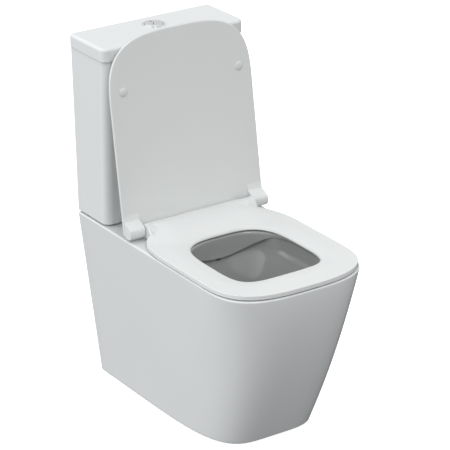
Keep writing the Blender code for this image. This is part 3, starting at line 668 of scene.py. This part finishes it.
    def bowl_solid(self, grow: float, top: float, steps: int = 128) -> bmesh.types.BMesh:
        """Bowl form from its mouth to the sump; grow adds the wall outside it.

        Args:
            grow: Wall outside the bowl's face, or 0 for the bowl's own space.
            top: Height of the uppermost ring.
            steps: Points round a ring.

        Returns:
            The closed form.
        """
        turns = [2 * math.pi * i / steps for i in range(steps)]
        rim, foot = self.bowl[0][0], self.bowl[-1][0]
        if grow:
            heights = [blend(rim, foot, i / 44) for i in range(45)]
            rings = [[self.bowl_point(a, height, grow) for a in turns] for height in heights]
            rings[-1] = [Vector((p.x, p.y, p.z - grow)) for p in rings[-1]]
            return loft([[Vector((p.x, p.y, top)) for p in rings[0]], *rings[1:]])
        columns = [self.bowl_column(a) for a in turns]
        flare = [(inset + 1e-7, self.height - drop)
                 for inset, drop in reversed(quarter(self.mouth_radius, 6))]
        rings = []
        for inset, height in [(self.mouth_radius + 0.0001, top)] + flare:
            ring = [self.bowl_point(a, rim, inset) for a in turns]
            rings.append([Vector((p.x, p.y, height)) for p in ring])
        return loft(rings + [list(ring) for ring in zip(*columns)])

    def route(self, points: Sequence[Sequence[float]], grow: float,
              overrun: float = 0.0) -> bmesh.types.BMesh:
        """Pipe along a route of depth, height and radius.

        Args:
            points: The route's stations.
            grow: Wall added to the radius.
            overrun: How far the last point is pushed towards the wall.

        Returns:
            The pipe's solid.
        """
        rows = [spline(points, i / 40) for i in range(41)]
        path = [Vector((0, self.wall_y - depth, height)) for depth, height, _ in rows]
        path[-1] = path[-1] + Vector((0, overrun, 0))
        return pipe(path, [radius + grow for _, _, radius in rows])

    def build(self, holes: Iterable[tuple[float, float, float]]) -> bpy.types.Object:
        """Make the pan.

        Args:
            holes: X, depth and radius of each round hole through the deck.

        Returns:
            The dressed piece.
        """
        carver = Carver("pan_ceramic", self.skirt())
        carver.use(Operation.CUT, self.hollow())
        carver.use(Operation.JOIN, self.bowl_solid(self.bowl_wall, self.height - self.deck / 2))
        carver.use(Operation.JOIN, self.route(self.trap, 0.009))
        carver.use(Operation.JOIN, self.route(self.flushway, 0.008))
        back = block((-0.085, self.wall_y - 0.034, -0.01), (0.085, self.wall_y + 0.01, 0.265))
        bmesh.ops.bevel(back, geom=[e for e in back.edges if abs(e.verts[0].co.y - e.verts[1].co.y) > 0.01],
                        offset=0.012, segments=5, affect="EDGES", profile=0.5)
        carver.use(Operation.CUT, back)
        # The bowl and trap cuts leave the dark grey finish on the faces they make: painted shade inside the
        # bowl.
        carver.use(Operation.CUT, self.bowl_solid(0.0, self.height + 0.02), slot="bowl_painted_shade")
        carver.use(Operation.CUT, self.route(self.trap, 0.0, 0.01), slot="bowl_painted_shade")
        carver.use(Operation.CUT, self.route(self.flushway, 0.0))
        for x, depth, radius in holes:
            low = self.height - (0.012 if radius > 0.04 else self.deck + 0.01)
            carver.use(Operation.CUT, stack([(radius, low), (radius, self.height + 0.01)], 40),
                       (x, self.wall_y - depth, 0))
        return dress(carver.done(), "fixed", "glazed_ceramic", "pan", "pan_bowl", "pan_trap", "pan_flushway")


# ---------------------------------------------------------------- cistern
@dataclass
class Cistern:
    """Tapering tank and the lid that caps it."""

    wall_y: float
    bottom: float
    top: float
    top_width: float
    top_depth: float
    lid_low: float
    lid_top: float
    lid_width: float
    lid_depth: float
    base_width: float = 0.3575
    base_depth: float = 0.124
    shell: float = 0.009
    floor: float = 0.014
    front_radius: float = 0.020
    back_radius: float = 0.004
    lid_front_radius: float = 0.0170
    lid_back_radius: float = 0.0085
    lid_edge: float = 0.0075

    def tank_ring(self, height: float, inset: float = 0.0) -> Ring:
        """Tank outline at a height, inset from the outer face.

        Args:
            height: Height over the floor.
            inset: How far inside the outer face.

        Returns:
            The ring.
        """
        t = (height - self.bottom) / (self.top - self.bottom)
        half = blend(self.base_width, self.top_width, t) / 2 - inset
        front = self.wall_y - (blend(self.base_depth, self.top_depth, t) - inset)
        return rounded_ring(half, front, self.wall_y - inset, height,
                            max(self.front_radius - inset, 0.004), max(self.back_radius - inset, 0.003))

    def lid_ring(self, height: float, inset: float = 0.0) -> Ring:
        """Lid outline at a height.

        Args:
            height: Height over the floor.
            inset: How far inside the outer face.

        Returns:
            The ring.
        """
        return rounded_ring(self.lid_width / 2 - inset, self.wall_y - self.lid_depth + inset,
                            self.wall_y - inset, height, self.lid_front_radius - inset,
                            self.lid_back_radius - inset)

    def tank(self, holes: Iterable[tuple[float, float, float]]) -> bpy.types.Object:
        """Make the tank.

        Args:
            holes: X, depth and radius of each round hole through its floor.

        Returns:
            The dressed piece.
        """
        foot = [self.tank_ring(self.bottom + drop, inset) for inset, drop in reversed(quarter(0.004, 5))]
        rim = [self.tank_ring(self.top - drop, inset) for inset, drop in quarter(0.0012, 3)]
        sides = [self.tank_ring(blend(self.bottom + 0.004, self.top - 0.0012, i / 8)) for i in range(1, 8)]
        carver = Carver("tank_ceramic", loft(foot + sides + rim))
        low = self.bottom + self.floor
        inside = [self.tank_ring(low + drop, self.shell + inset)
                  for inset, drop in reversed(quarter(0.004, 4))]
        inside += [self.tank_ring(self.top, self.shell), self.tank_ring(self.top + 0.01, self.shell)]
        carver.use(Operation.CUT, loft(inside))
        for x, depth, radius in holes:
            carver.use(Operation.CUT, stack([(radius, self.bottom - 0.01), (radius, low + 0.01)], 40),
                       (x, self.wall_y - depth, 0))
        return dress(carver.done(), "fixed", "glazed_ceramic", "cistern_tank")

    def lid(self, button_y: float, hole_radius: float) -> bpy.types.Object:
        """Make the lid.

        Args:
            button_y: Y of the button's centre.
            hole_radius: Radius of the hole for its sleeve.

        Returns:
            The dressed piece.
        """
        foot = [self.lid_ring(self.lid_low + drop, inset) for inset, drop in reversed(quarter(0.0015, 3))]
        edge = [self.lid_ring(self.lid_top - drop, inset) for inset, drop in quarter(self.lid_edge, 8)]
        waist = self.lid_ring(blend(self.lid_low, self.lid_top, 0.4))
        carver = Carver("lid_ceramic", loft(foot + [waist] + edge))
        inset = self.shell + 0.0015
        for operation, wall, low, high in ((Operation.JOIN, 0.0, self.top - 0.009, self.lid_low + 0.006),
                                           (Operation.CUT, 0.004, self.top - 0.02,
                                            self.lid_top - self.shell)):
            rings = [self.tank_ring(low, inset + wall), self.tank_ring(self.top, inset + wall)]
            rings.append([Vector((p.x, p.y, high)) for p in rings[-1]])
            carver.use(operation, loft(rings))
        drill = stack([(hole_radius, self.lid_top - 0.03), (hole_radius, self.lid_top + 0.01)], 64)
        carver.use(Operation.CUT, drill, (0, button_y, 0))
        return dress(carver.done(), "fixed", "glazed_ceramic", "cistern_lid")


# ---------------------------------------------------------------- push buttons
@dataclass
class PushButtons:
    """Chrome ring with a full and a half flush button inside."""

    centre_y: float
    lid_top: float
    floor: float
    top: float
    radius: float = 0.0200
    split: float = 0.0009
    wave: float = 0.0045
    height: float = 0.013
    dish: float = 0.0010

    def ring(self) -> bpy.types.Object:
        """Make the ring and its sleeve, with holes for the two rods.

        Returns:
            The dressed piece.
        """
        z = self.lid_top
        crown = [(0.0260 - 0.0009 + 0.0009 * math.cos(a), z + 0.0012 + 0.0009 * math.sin(a))
                 for a in (math.radians(step) for step in range(0, 91, 18))]
        throat = [(0.0205 + 0.0008 - 0.0008 * math.sin(a), z + 0.0013 + 0.0008 * math.cos(a))
                  for a in (math.radians(step) for step in range(0, 91, 18))]
        profile = [(0.0228, self.floor), (0.0228, z + 0.0003), (0.0260, z + 0.0003), *crown, *throat,
                   (0.0205, self.floor + 0.003), (0.0030, self.floor + 0.003), (0.0030, self.floor)]
        carver = Carver("button_ring", turned(profile, 96))
        for side in (-1, 1):
            drill = stack([(0.0032, self.floor - 0.005), (0.0032, self.floor + 0.008)], 24)
            carver.use(Operation.CUT, drill, (side * 0.010, 0, 0))
        carver.piece.location = (0, self.centre_y, 0)
        for tool in carver.tools:
            tool.location.y += self.centre_y
        return dress(carver.done(), "fixed", "chrome", "button_housing")

    def half(self, side: int, body: str, node: str) -> bpy.types.Object:
        """Make one button.

        Args:
            side: -1 for the left button, 1 for the right one.
            body: The CAD body that it rides on.
            node: The CAD node that it replaces.

        Returns:
            The dressed piece.
        """
        outline = []
        for i in range(41):
            y = self.radius * 0.995 * (1 - 2 * i / 40)
            wave = self.wave * math.sin(math.pi * y / self.radius) + side * self.split / 2
            reach = math.sqrt(self.radius ** 2 - y * y)
            outline.append((side * min(side * wave, reach * 0.98), y))
        for i in range(1, 48):
            angle = -math.pi / 2 + math.pi * i / 48
            outline.append((side * self.radius * math.cos(angle), self.radius * math.sin(angle)))
        middle = Vector((side * self.radius * 0.45, 0.0))
        rings = []
        levels = [(self.height, 1.0)] + [(drop, 1 - inset / (self.radius * 0.5)) for inset, drop in
                                         quarter(0.0016, 6)]
        levels += [(0.0, 0.75), (0.0, 0.45), (0.0, 0.15)]
        for drop, scale in levels:
            ring = []
            for x, y in outline:
                flat = middle + (Vector((x, y)) - middle) * scale
                hollow = self.dish * (1 - (flat.length / self.radius) ** 2) if scale < 0.99 else 0.0
                ring.append(Vector((flat.x, flat.y + self.centre_y, self.top - drop - max(hollow, 0.0))))
            rings.append(ring)
        return dress(Carver(node + "_cap", loft(rings)).done(40.0), body, "chrome", node)


# ---------------------------------------------------------------- seat
@dataclass
class Seat:
    """Thin seat whose back rises into the hinge barrel."""

    axis: Vector
    wall_y: float
    half_width: float
    front: float
    bottom: float = 0.4025
    top: float = 0.4125
    knuckle: float = 0.0145
    barrel: float = 0.1425
    straight: float = 0.513
    shoulder: float = 0.360
    waist: float = 0.2550
    edge: float = 0.0016
    roll: float = 0.042
    roll_drop: float = 0.0024
    lip: float = 0.011
    lip_drop: float = 0.0064
    hole_half: float = 0.1130
    hole_centre: float = 0.458
    hole_front: float = 0.577
    hole_back: float = 0.316
    hole_front_bow: float = 4.6
    hole_back_bow: float = 3.4
    post_room: float = 0.0112
    post_half: float = 0.0152
    damper_bore: float = 0.0093
    damper_start: float = 0.040
    damper_length: float = 0.070
    pin_start: float = 0.130
    pin_length: float = 0.020

    @property
    def axis_depth(self) -> float:
        """Depth of the hinge axis from the wall."""
        return self.wall_y - self.axis.y

    def outline(self) -> list[tuple[float, float]]:
        """Half outline as (x, depth), from the middle of the front to the middle of the back.

        Returns:
            The points.
        """
        side = self.barrel
        back = self.axis_depth - self.knuckle
        points = []
        for i in range(44):
            across, out = bow(math.pi / 2 * (1 - i / 44), 3.0)
            points.append((self.half_width * across, self.straight + (self.front - self.straight) * out))
        points += [(self.half_width, blend(self.straight, self.shoulder, i / 8)) for i in range(8)]
        for i in range(25):
            angle = math.pi / 2 * i / 24
            points.append((side + (self.half_width - side) * math.cos(angle),
                           self.shoulder - (self.shoulder - self.waist) * math.sin(angle)))
        arc = [(math.cos(math.pi * i / 12), math.sin(math.pi * i / 12)) for i in range(1, 12)]
        points += [(side, self.axis_depth + self.knuckle * 0.965 * c) for c, _ in arc]
        points += [(blend(side, 0.0, i / 22), back) for i in range(23)]
        return points

    def hole_point(self, x: float, depth: float) -> tuple[float, float]:
        """Point of the hole that lies in the same direction from its centre.

        Args:
            x: X of the outline point.
            depth: Depth of the outline point.

        Returns:
            X and depth on the hole's edge.
        """
        angle = math.atan2(depth - self.hole_centre, x)
        reach = self.hole_front - self.hole_centre if angle > 0 else self.hole_centre - self.hole_back
        exponent = self.hole_front_bow if angle > 0 else self.hole_back_bow
        c, s = abs(math.cos(angle)), abs(math.sin(angle))
        radius = ((c / self.hole_half) ** exponent + (s / reach) ** exponent) ** (-1 / exponent)
        return (radius * math.cos(angle), self.hole_centre + radius * math.sin(angle))

    def crest(self, x: float, depth: float) -> float:
        """Height of the seat's top over the floor, without its edges.

        Args:
            x: X on the seat.
            depth: Depth on the seat.

        Returns:
            The height.
        """
        behind = self.axis_depth - depth
        if behind > 0:
            return self.axis.z + math.sqrt(max(self.knuckle ** 2 - behind ** 2, 0.0))
        along = smoothstep(0.330, self.axis_depth + 0.002, depth)
        across = 1 - smoothstep(0.085, 0.176, abs(x))
        hood = 1 - smoothstep(self.axis_depth + self.knuckle - 0.0005, self.axis_depth + 0.032, depth)
        across = max(across, hood * (1 - smoothstep(self.barrel, self.barrel + 0.004, abs(x))))
        return blend(self.top, self.axis.z + self.knuckle, along * across)

    def keel(self, depth: float) -> float:
        """Height of the seat's underside.

        Args:
            depth: Depth on the seat.

        Returns:
            The height.
        """
        behind = self.axis_depth - depth
        if behind > -self.knuckle:
            round_low = self.axis.z - math.sqrt(max(self.knuckle ** 2 - behind ** 2, 0.0))
            return blend(self.bottom, round_low, smoothstep(-self.knuckle, 0.0, behind))
        return self.bottom

    def section(self, x: float, depth: float) -> Ring:
        """Closed section from the outer edge over the top to the hole and back underneath.

        Args:
            x: X of the outline point.
            depth: Depth of the outline point.

        Returns:
            The ring of points.
        """
        hole_x, hole_depth = self.hole_point(x, depth)
        span = math.hypot(x - hole_x, depth - hole_depth)
        edge = self.edge if depth > self.waist else min(self.edge, 0.0012)
        start = span - self.roll
        knuckle = min(self.knuckle, start / 2 - 0.001)
        if depth <= self.axis_depth - self.knuckle * 0.999:
            edge = 0.0
        over = [(inset * edge, drop * edge) for inset, drop in quarter(1.0, 5)]
        over += [(edge + (2 * knuckle - edge) * (1 - math.cos(math.pi * i / 20)) / 2, 0.0)
                 for i in range(1, 21)]
        over += [(blend(2 * knuckle, start, i / 8), 0.0) for i in range(1, 9)]
        slope = self.roll - self.lip
        over += [(start + slope * i / 8, self.roll_drop * (i / 8) ** 2) for i in range(1, 9)]
        for i in range(1, 11):
            a = math.pi / 2 * i / 10
            over.append((span - self.lip * (1 - math.sin(a)),
                         self.roll_drop + self.lip_drop * (1 - math.cos(a))))
        ring = [self.place(x, depth, hole_x, hole_depth, inward / span, None, drop) for inward, drop in over]
        ring.append(self.place(x, depth, hole_x, hole_depth, 1.0, self.bottom + 0.0012, 0.0))
        under = [span - 0.0015, span - 0.006, blend(2 * knuckle, span, 0.5), 2 * knuckle, knuckle * 1.5,
                 knuckle, knuckle * 0.5, knuckle * 0.15, edge * 0.5]
        for inward in under:
            px, pd = blend(x, hole_x, inward / span), blend(depth, hole_depth, inward / span)
            ring.append(Vector((px, self.wall_y - pd, self.keel(pd))))
        low = self.keel(depth) + (edge * 0.5 if edge > 0.0 else 0.0002)
        ring.append(Vector((x, self.wall_y - depth, min(low, ring[0].z - 0.0001))))
        return ring

    def place(self, x: float, depth: float, hole_x: float, hole_depth: float, t: float,
              height: Optional[float], drop: float) -> Vector:
        """Point of a section, t of the way to the hole, at a height or a drop below the crest.

        Args:
            x: X of the outline point.
            depth: Depth of the outline point.
            hole_x: X of its point on the hole.
            hole_depth: Depth of its point on the hole.
            t: Share of the way to the hole.
            height: Height of the point, or None to take the crest's.
            drop: How far below the crest.

        Returns:
            The point.
        """
        px, pd = blend(x, hole_x, t), blend(depth, hole_depth, t)
        level = self.crest(px, pd) - drop if height is None else height
        return Vector((px, self.wall_y - pd, level))

    def build(self, post_x: float, pin: float) -> bpy.types.Object:
        """Make the seat.

        Args:
            post_x: X of the hinge posts.
            pin: Radius of the pin bore.

        Returns:
            The dressed piece.
        """
        half = self.outline()
        outline = half + [(-x, depth) for x, depth in reversed(half[1:-1])]
        carver = Carver("seat_moulding", loft([self.section(x, depth) for x, depth in outline], cyclic=True))
        room = self.post_room
        slot = [(-room, -0.05), (-room, room), (0.0003, room), (0.0003, 0.03), (0.03, 0.03), (0.03, -0.05)]
        for side in (-1, 1):
            x = side * post_x
            carver.use(Operation.CUT, prism_x(slot, x - self.post_half, x + self.post_half), self.axis)
            for radius, start, length in ((self.damper_bore, self.damper_start, self.damper_length),
                                          (pin, self.pin_start, self.pin_length)):
                bore = stack([(radius, 0), (radius, length)], 32)
                carver.use(Operation.CUT, along_x(bore, bore_start(side, start, length)), self.axis)
        return dress(carver.done(), "seat", "duroplast", "seat_ring")


# ---------------------------------------------------------------- cover
@dataclass
class Cover:
    """Flat cover with two coved hinge ears, modelled shut and turned open."""

    axis: Vector
    open_angle: float
    half_width: float = 0.1835
    length: float = 0.433
    thickness: float = 0.0095
    lift: float = 0.0165
    tilt: float = math.radians(3.0)
    ear_open: tuple[tuple[float, float], ...] = (
        (-0.0150, -0.0120), (-0.0110, -0.0140), (-0.0060, -0.0149), (-0.0010, -0.0147), (0.0025, -0.0138),
        (0.0052, -0.0118), (0.0070, -0.0090), (0.0081, -0.0058), (0.0087, -0.0022), (0.0088, 0.0015),
        (0.0084, 0.0048), (0.0076, 0.0074), (0.0063, 0.0094), (0.0046, 0.0107), (0.0034, 0.0111),
        (0.0028, 0.0118), (-0.0040, 0.0149), (-0.0110, 0.0181), (-0.0162, 0.0204), (-0.0174, 0.0214),
        (-0.0183, 0.0240), (-0.0191, 0.0272), (-0.0200, 0.0306), (-0.0209, 0.0340))
    ear_inner: float = 0.1437
    ear_outer: float = 0.1822
    back: float = 0.009
    pin_start: float = 0.132
    pin_length: float = 0.040
    buffer_radius: float = 0.0100
    buffer_height: float = 0.0026

    def stand(self) -> Matrix:
        """Transform from the shut shape about the axis to the open cover in the frame."""
        return Matrix.Translation(self.axis) @ Matrix.Rotation(-self.open_angle, 4, "X")

    def outline(self, inset: float) -> list[tuple[float, float]]:
        """Whole outline as (x, reach from the axis), inset from the edge.

        Args:
            inset: How far inside the edge.

        Returns:
            The points.
        """
        half = self.half_width - inset
        length, straight, back = self.length - inset, 0.270, self.back - inset
        points = []
        for i in range(56):
            across, out = bow(math.pi / 2 * (1 - i / 56), 3.3)
            points.append((half * across, straight + (length - straight) * out))
        points += [(half, blend(straight, 0.004, i / 12)) for i in range(13)]
        corner = 0.005
        points += [(half - corner + corner * math.cos(a), -back + corner - corner * math.sin(a))
                   for a in (math.pi / 2 * i / 5 for i in range(6))]
        points += [(blend(half - corner, 0.0, i / 12), -back) for i in range(1, 13)]
        return points + [(-x, reach) for x, reach in reversed(points[1:-1])]

    def slab(self) -> bmesh.types.BMesh:
        """The plate, with a soft edge on its outer face and a small one inside.

        Returns:
            The plate of the shut cover.
        """
        lower = [(inset, drop) for inset, drop in reversed(quarter(0.0022, 4))]
        upper = [(inset, self.thickness - drop) for inset, drop in quarter(0.0050, 7)]
        rings = []
        for inset, level in [(0.0022 + 0.004, 0.0)] + lower + upper:
            rings.append([Vector((x, -reach, self.lift + level - math.tan(self.tilt) * reach))
                          for x, reach in self.outline(inset)])
        return loft(rings)

    def ear_profile(self) -> list[tuple[float, float]]:
        """Outline of an ear as (y, z) about the shut cover's axis: back, nose, slanted flat and cove.

        Returns:
            The closed outline.
        """
        turn = Matrix.Rotation(self.open_angle, 2)
        shape = [turn @ Vector((-forward, height)) for forward, height in self.ear_open]
        points = [(self.back - 0.0012, self.lift + 0.003)] + [(p.x, p.y) for p in shape]
        return points + [(shape[-1].x - 0.002, self.lift + 0.003)]

    def ear(self, side: int) -> bmesh.types.BMesh:
        """One ear with small rounded ends.

        Args:
            side: -1 for the left ear, 1 for the right one.

        Returns:
            The ear of the shut cover.
        """
        profile = self.ear_profile()
        middle = Vector((-0.002, 0.004))
        rings = []
        width = self.ear_outer - self.ear_inner
        marks = [(0.0, 0.0009), (0.0003, 0.0003), (0.0010, 0.0), (width - 0.0010, 0.0),
                 (width - 0.0003, 0.0003), (width, 0.0009)]
        for inward, shrink in marks:
            x = side * (self.ear_inner + inward)
            ring = []
            for y, z in profile:
                spot = Vector((y, z))
                spot = spot - (spot - middle).normalized() * shrink if z < self.lift - 0.004 else spot
                ring.append(Vector((x, spot.x, spot.y)))
            rings.append(ring)
        return loft(rings)

    def build(self, pin: float) -> bpy.types.Object:
        """Make the cover with its ears and pin bores.

        Args:
            pin: Radius of the pin bore.

        Returns:
            The dressed piece.
        """
        carver = Carver("cover_moulding", self.slab())
        for side in (-1, 1):
            carver.use(Operation.JOIN, self.ear(side))
            bore = stack([(pin, 0), (pin, self.pin_length)], 32)
            carver.use(Operation.CUT, along_x(bore, bore_start(side, self.pin_start, self.pin_length)))
        piece = carver.done()
        piece.data.transform(self.stand())
        return dress(piece, "cover", "duroplast", "seat_cover")

    def buffer(self, node: str) -> bpy.types.Object:
        """Make one domed buffer on the inner face where its CAD node is.

        Args:
            node: The CAD node that it replaces.

        Returns:
            The dressed piece.
        """
        low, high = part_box(node)
        centre = (low + high) / 2
        reach = math.hypot(centre.y - self.axis.y, centre.z - self.axis.z)
        height = self.buffer_height
        dome = [(self.buffer_radius * math.cos(a), -0.0003 - height * math.sin(a)) for a in
                (math.radians(step) for step in range(0, 86, 12))]
        bm = stack([(self.buffer_radius, 0.0002)] + dome + [(0.0008, -0.0003 - height)], 40)
        seat = Matrix.Rotation(self.tilt, 4, "X")
        place = Matrix.Translation((centre.x, -reach, self.lift - math.tan(self.tilt) * reach))
        bmesh.ops.transform(bm, matrix=self.stand() @ place @ seat, verts=bm.verts)
        return dress(Carver(node + "_pad", bm).done(), "cover", "clear_rubber", node)


# ---------------------------------------------------------------- studio
@dataclass
class Studio:
    """White floor, soft lights and the camera."""

    target: Vector = field(default_factory=lambda: Vector((0.0242, 0.0325, 0.4181)))
    azimuth: float = -32.79
    elevation: float = 22.81
    roll: float = -1.096
    distance: float = 5.379
    lens: float = 194.3
    sensor: float = 36.0
    sky: float = 0.73
    ground: float = 0.10
    lobes: tuple[tuple[float, tuple[float, float, float]], ...] = (
        (0.99, (-0.93, 0.25, 0.27)), (0.30, (0.80, -0.45, 0.35)))
    key_strength: float = 0.52
    key_spread: float = 20.0
    key_from: tuple[float, float, float] = (-0.10, -0.62, 0.78)

    def camera(self) -> None:
        """Place the camera on its long lens."""
        az, el = math.radians(self.azimuth), math.radians(self.elevation)
        back = Vector((math.sin(az) * math.cos(el), -math.cos(az) * math.cos(el), math.sin(el)))
        data = bpy.data.cameras.new("camera")
        data.lens = self.lens
        data.sensor_width = self.sensor
        data.clip_end = 60.0
        made = bpy.data.objects.new("camera", data)
        bpy.context.scene.collection.objects.link(made)
        made.location = self.target + back * self.distance
        turn = back.to_track_quat("Z", "Y") @ Matrix.Rotation(math.radians(self.roll), 3, "Z").to_quaternion()
        made.rotation_euler = turn.to_euler()
        bpy.context.scene.camera = made

    def floor(self) -> None:
        """Wide pale floor under everything."""
        made = Carver("floor", block((-12, -12, -0.05), (12, 12, -0.0005))).done()
        material = bpy.data.materials.new("floor_white")
        material.use_nodes = True
        shader = material.node_tree.nodes["Principled BSDF"]
        shader.inputs["Base Color"].default_value = (0.88, 0.88, 0.88, 1.0)
        shader.inputs["Emission Color"].default_value = (1.0, 1.0, 1.0, 1.0)
        shader.inputs["Emission Strength"].default_value = 0.50
        shader.inputs["Roughness"].default_value = 0.9
        shader.inputs["Specular IOR Level"].default_value = 0.1
        made.data.materials[0] = material
        made.visible_diffuse = False
        made.visible_glossy = False

    def sky_dome(self) -> bpy.types.World:
        """Bright dome over a dark ground, brightest at the left, with a weak glow at the right.

        Returns:
            The world.
        """
        world = bpy.data.worlds.new("studio")
        world.use_nodes = True
        tree = world.node_tree
        place = tree.nodes.new("ShaderNodeTexCoord")
        split = tree.nodes.new("ShaderNodeSeparateXYZ")
        tree.links.new(place.outputs["Generated"], split.inputs["Vector"])
        rise = self._step(tree, split.outputs["Z"], (-0.12, 0.18), (self.ground, self.sky))
        level = rise
        for strength, source in self.lobes:
            aim = tree.nodes.new("ShaderNodeVectorMath")
            aim.operation = "DOT_PRODUCT"
            aim.inputs[1].default_value = Vector(source).normalized()
            tree.links.new(place.outputs["Generated"], aim.inputs[0])
            glow = self._step(tree, aim.outputs["Value"], (0.1, 1.0), (0.0, strength))
            total = tree.nodes.new("ShaderNodeMath")
            total.operation = "ADD"
            tree.links.new(level, total.inputs[0])
            tree.links.new(glow, total.inputs[1])
            level = total.outputs["Value"]
        shader = tree.nodes["Background"]
        shader.inputs["Color"].default_value = (0.985, 0.995, 1.0, 1.0)
        tree.links.new(level, shader.inputs["Strength"])
        return world

    @staticmethod
    def _step(tree: bpy.types.NodeTree, value: bpy.types.NodeSocket, low_high: tuple[float, float],
              levels: tuple[float, float]) -> bpy.types.NodeSocket:
        """Smooth step of a value between two levels.

        Args:
            tree: The world's nodes.
            value: Socket with the value.
            low_high: Where the step starts and ends.
            levels: Its two levels.

        Returns:
            Socket with the result.
        """
        step = tree.nodes.new("ShaderNodeMapRange")
        step.interpolation_type = "SMOOTHSTEP"
        step.inputs["From Min"].default_value, step.inputs["From Max"].default_value = low_high
        step.inputs["To Min"].default_value, step.inputs["To Max"].default_value = levels
        tree.links.new(value, step.inputs["Value"])
        return step.outputs["Result"]

    def light(self) -> None:
        """Set the dome and the small key light that draws the highlights."""
        bpy.context.scene.world = self.sky_dome()
        bpy.context.scene.view_settings.view_transform = "Standard"
        key = bpy.data.lights.new("key", "SUN")
        key.energy = self.key_strength
        key.angle = math.radians(self.key_spread)
        made = bpy.data.objects.new("key", key)
        bpy.context.scene.collection.objects.link(made)
        made.rotation_euler = Vector(self.key_from).to_track_quat("Z", "Y").to_euler()

    def build(self) -> None:
        """Set up the whole studio."""
        self.camera()
        self.floor()
        self.light()


# ---------------------------------------------------------------- carried-over nodes
def dress_nodes(frame: dict) -> None:
    """Give every CAD node that still shows its slot's finish and smooth shading.
    """
    slots = {row["node"]: row["material_slot"] for row in frame["record"]["subparts"]}
    for name, node in frame["nodes"].items():
        if node.hide_render:
            continue
        node.data.materials.clear()
        node.data.materials.append(FINISHES[slots[name]].material())
        node.data.shade_smooth()
        node.data.set_sharp_from_angle(angle=math.radians(CAD_SHARP_ANGLE))
        LOG.info("%s keeps its CAD form in %s", name, slots[name])


def main() -> None:
    """Build every piece around the frame."""
    logging.basicConfig(level=logging.INFO, format="%(name)s: %(message)s")
    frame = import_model()
    Studio().build()
    hinge = next(joint for joint in frame["joints"] if joint["name"] == "cover_hinge")
    axis = Vector(hinge["pos_m"])
    pan_low, pan_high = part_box("pan")
    tank_low, tank_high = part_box("cistern_tank")
    lid_low, lid_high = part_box("cistern_lid")
    seat_low, seat_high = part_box("seat_ring")
    ring_low, ring_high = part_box("button_housing")
    post_low, post_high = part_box("hinge_post_right")
    cap_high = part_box("full_flush_button")[1]
    wall_y = tank_high.y
    valve_low, valve_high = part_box("flush_valve_body")
    fill_low, fill_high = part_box("fill_valve_backnut")
    bolt_low, bolt_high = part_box("coupling_bolt_right")
    valve_depth = wall_y - (valve_low.y + valve_high.y) / 2
    fill_x = (fill_low.x + fill_high.x) / 2
    bolt_x = (bolt_low.x + bolt_high.x) / 2
    post_x = (post_low.x + post_high.x) / 2
    post_depth = wall_y - axis.y
    pan = Pan(wall_y, pan_high.x - pan_low.x, wall_y - pan_low.y, pan_high.z)
    bolts = [(bolt_x, valve_depth, BOLT_BORE), (-bolt_x, valve_depth, BOLT_BORE)]
    pan.build([(0.0, valve_depth, FLUSH_NUT_ROOM), (fill_x, valve_depth, FILL_NUT_ROOM), *bolts,
               (post_x, post_depth, STUD_BORE), (-post_x, post_depth, STUD_BORE)])
    lid_bottom = tank_high.z + 0.0003
    cistern = Cistern(wall_y, tank_low.z, tank_high.z, tank_high.x - tank_low.x, wall_y - tank_low.y,
                      lid_bottom, lid_high.z, lid_high.x - lid_low.x, wall_y - lid_low.y)
    cistern.tank([(0.0, valve_depth, FLUSH_TAIL_BORE), (fill_x, valve_depth, FILL_TAIL_BORE), *bolts])
    button_y = (ring_low.y + ring_high.y) / 2
    cistern.lid(button_y, BUTTON_BORE)
    buttons = PushButtons(button_y, lid_high.z, ring_low.z, cap_high.z)
    buttons.ring()
    buttons.half(-1, "half_button", "half_flush_button")
    buttons.half(1, "full_button", "full_flush_button")
    Seat(axis, wall_y, seat_high.x, wall_y - seat_low.y).build(post_x, PIN_BORE)
    cover = Cover(axis, math.radians(COVER_ANGLE))
    cover.build(PIN_BORE)
    cover.buffer("cover_buffer_left")
    cover.buffer("cover_buffer_right")
    dress_nodes(frame)


if __name__ == "__main__":
    main()
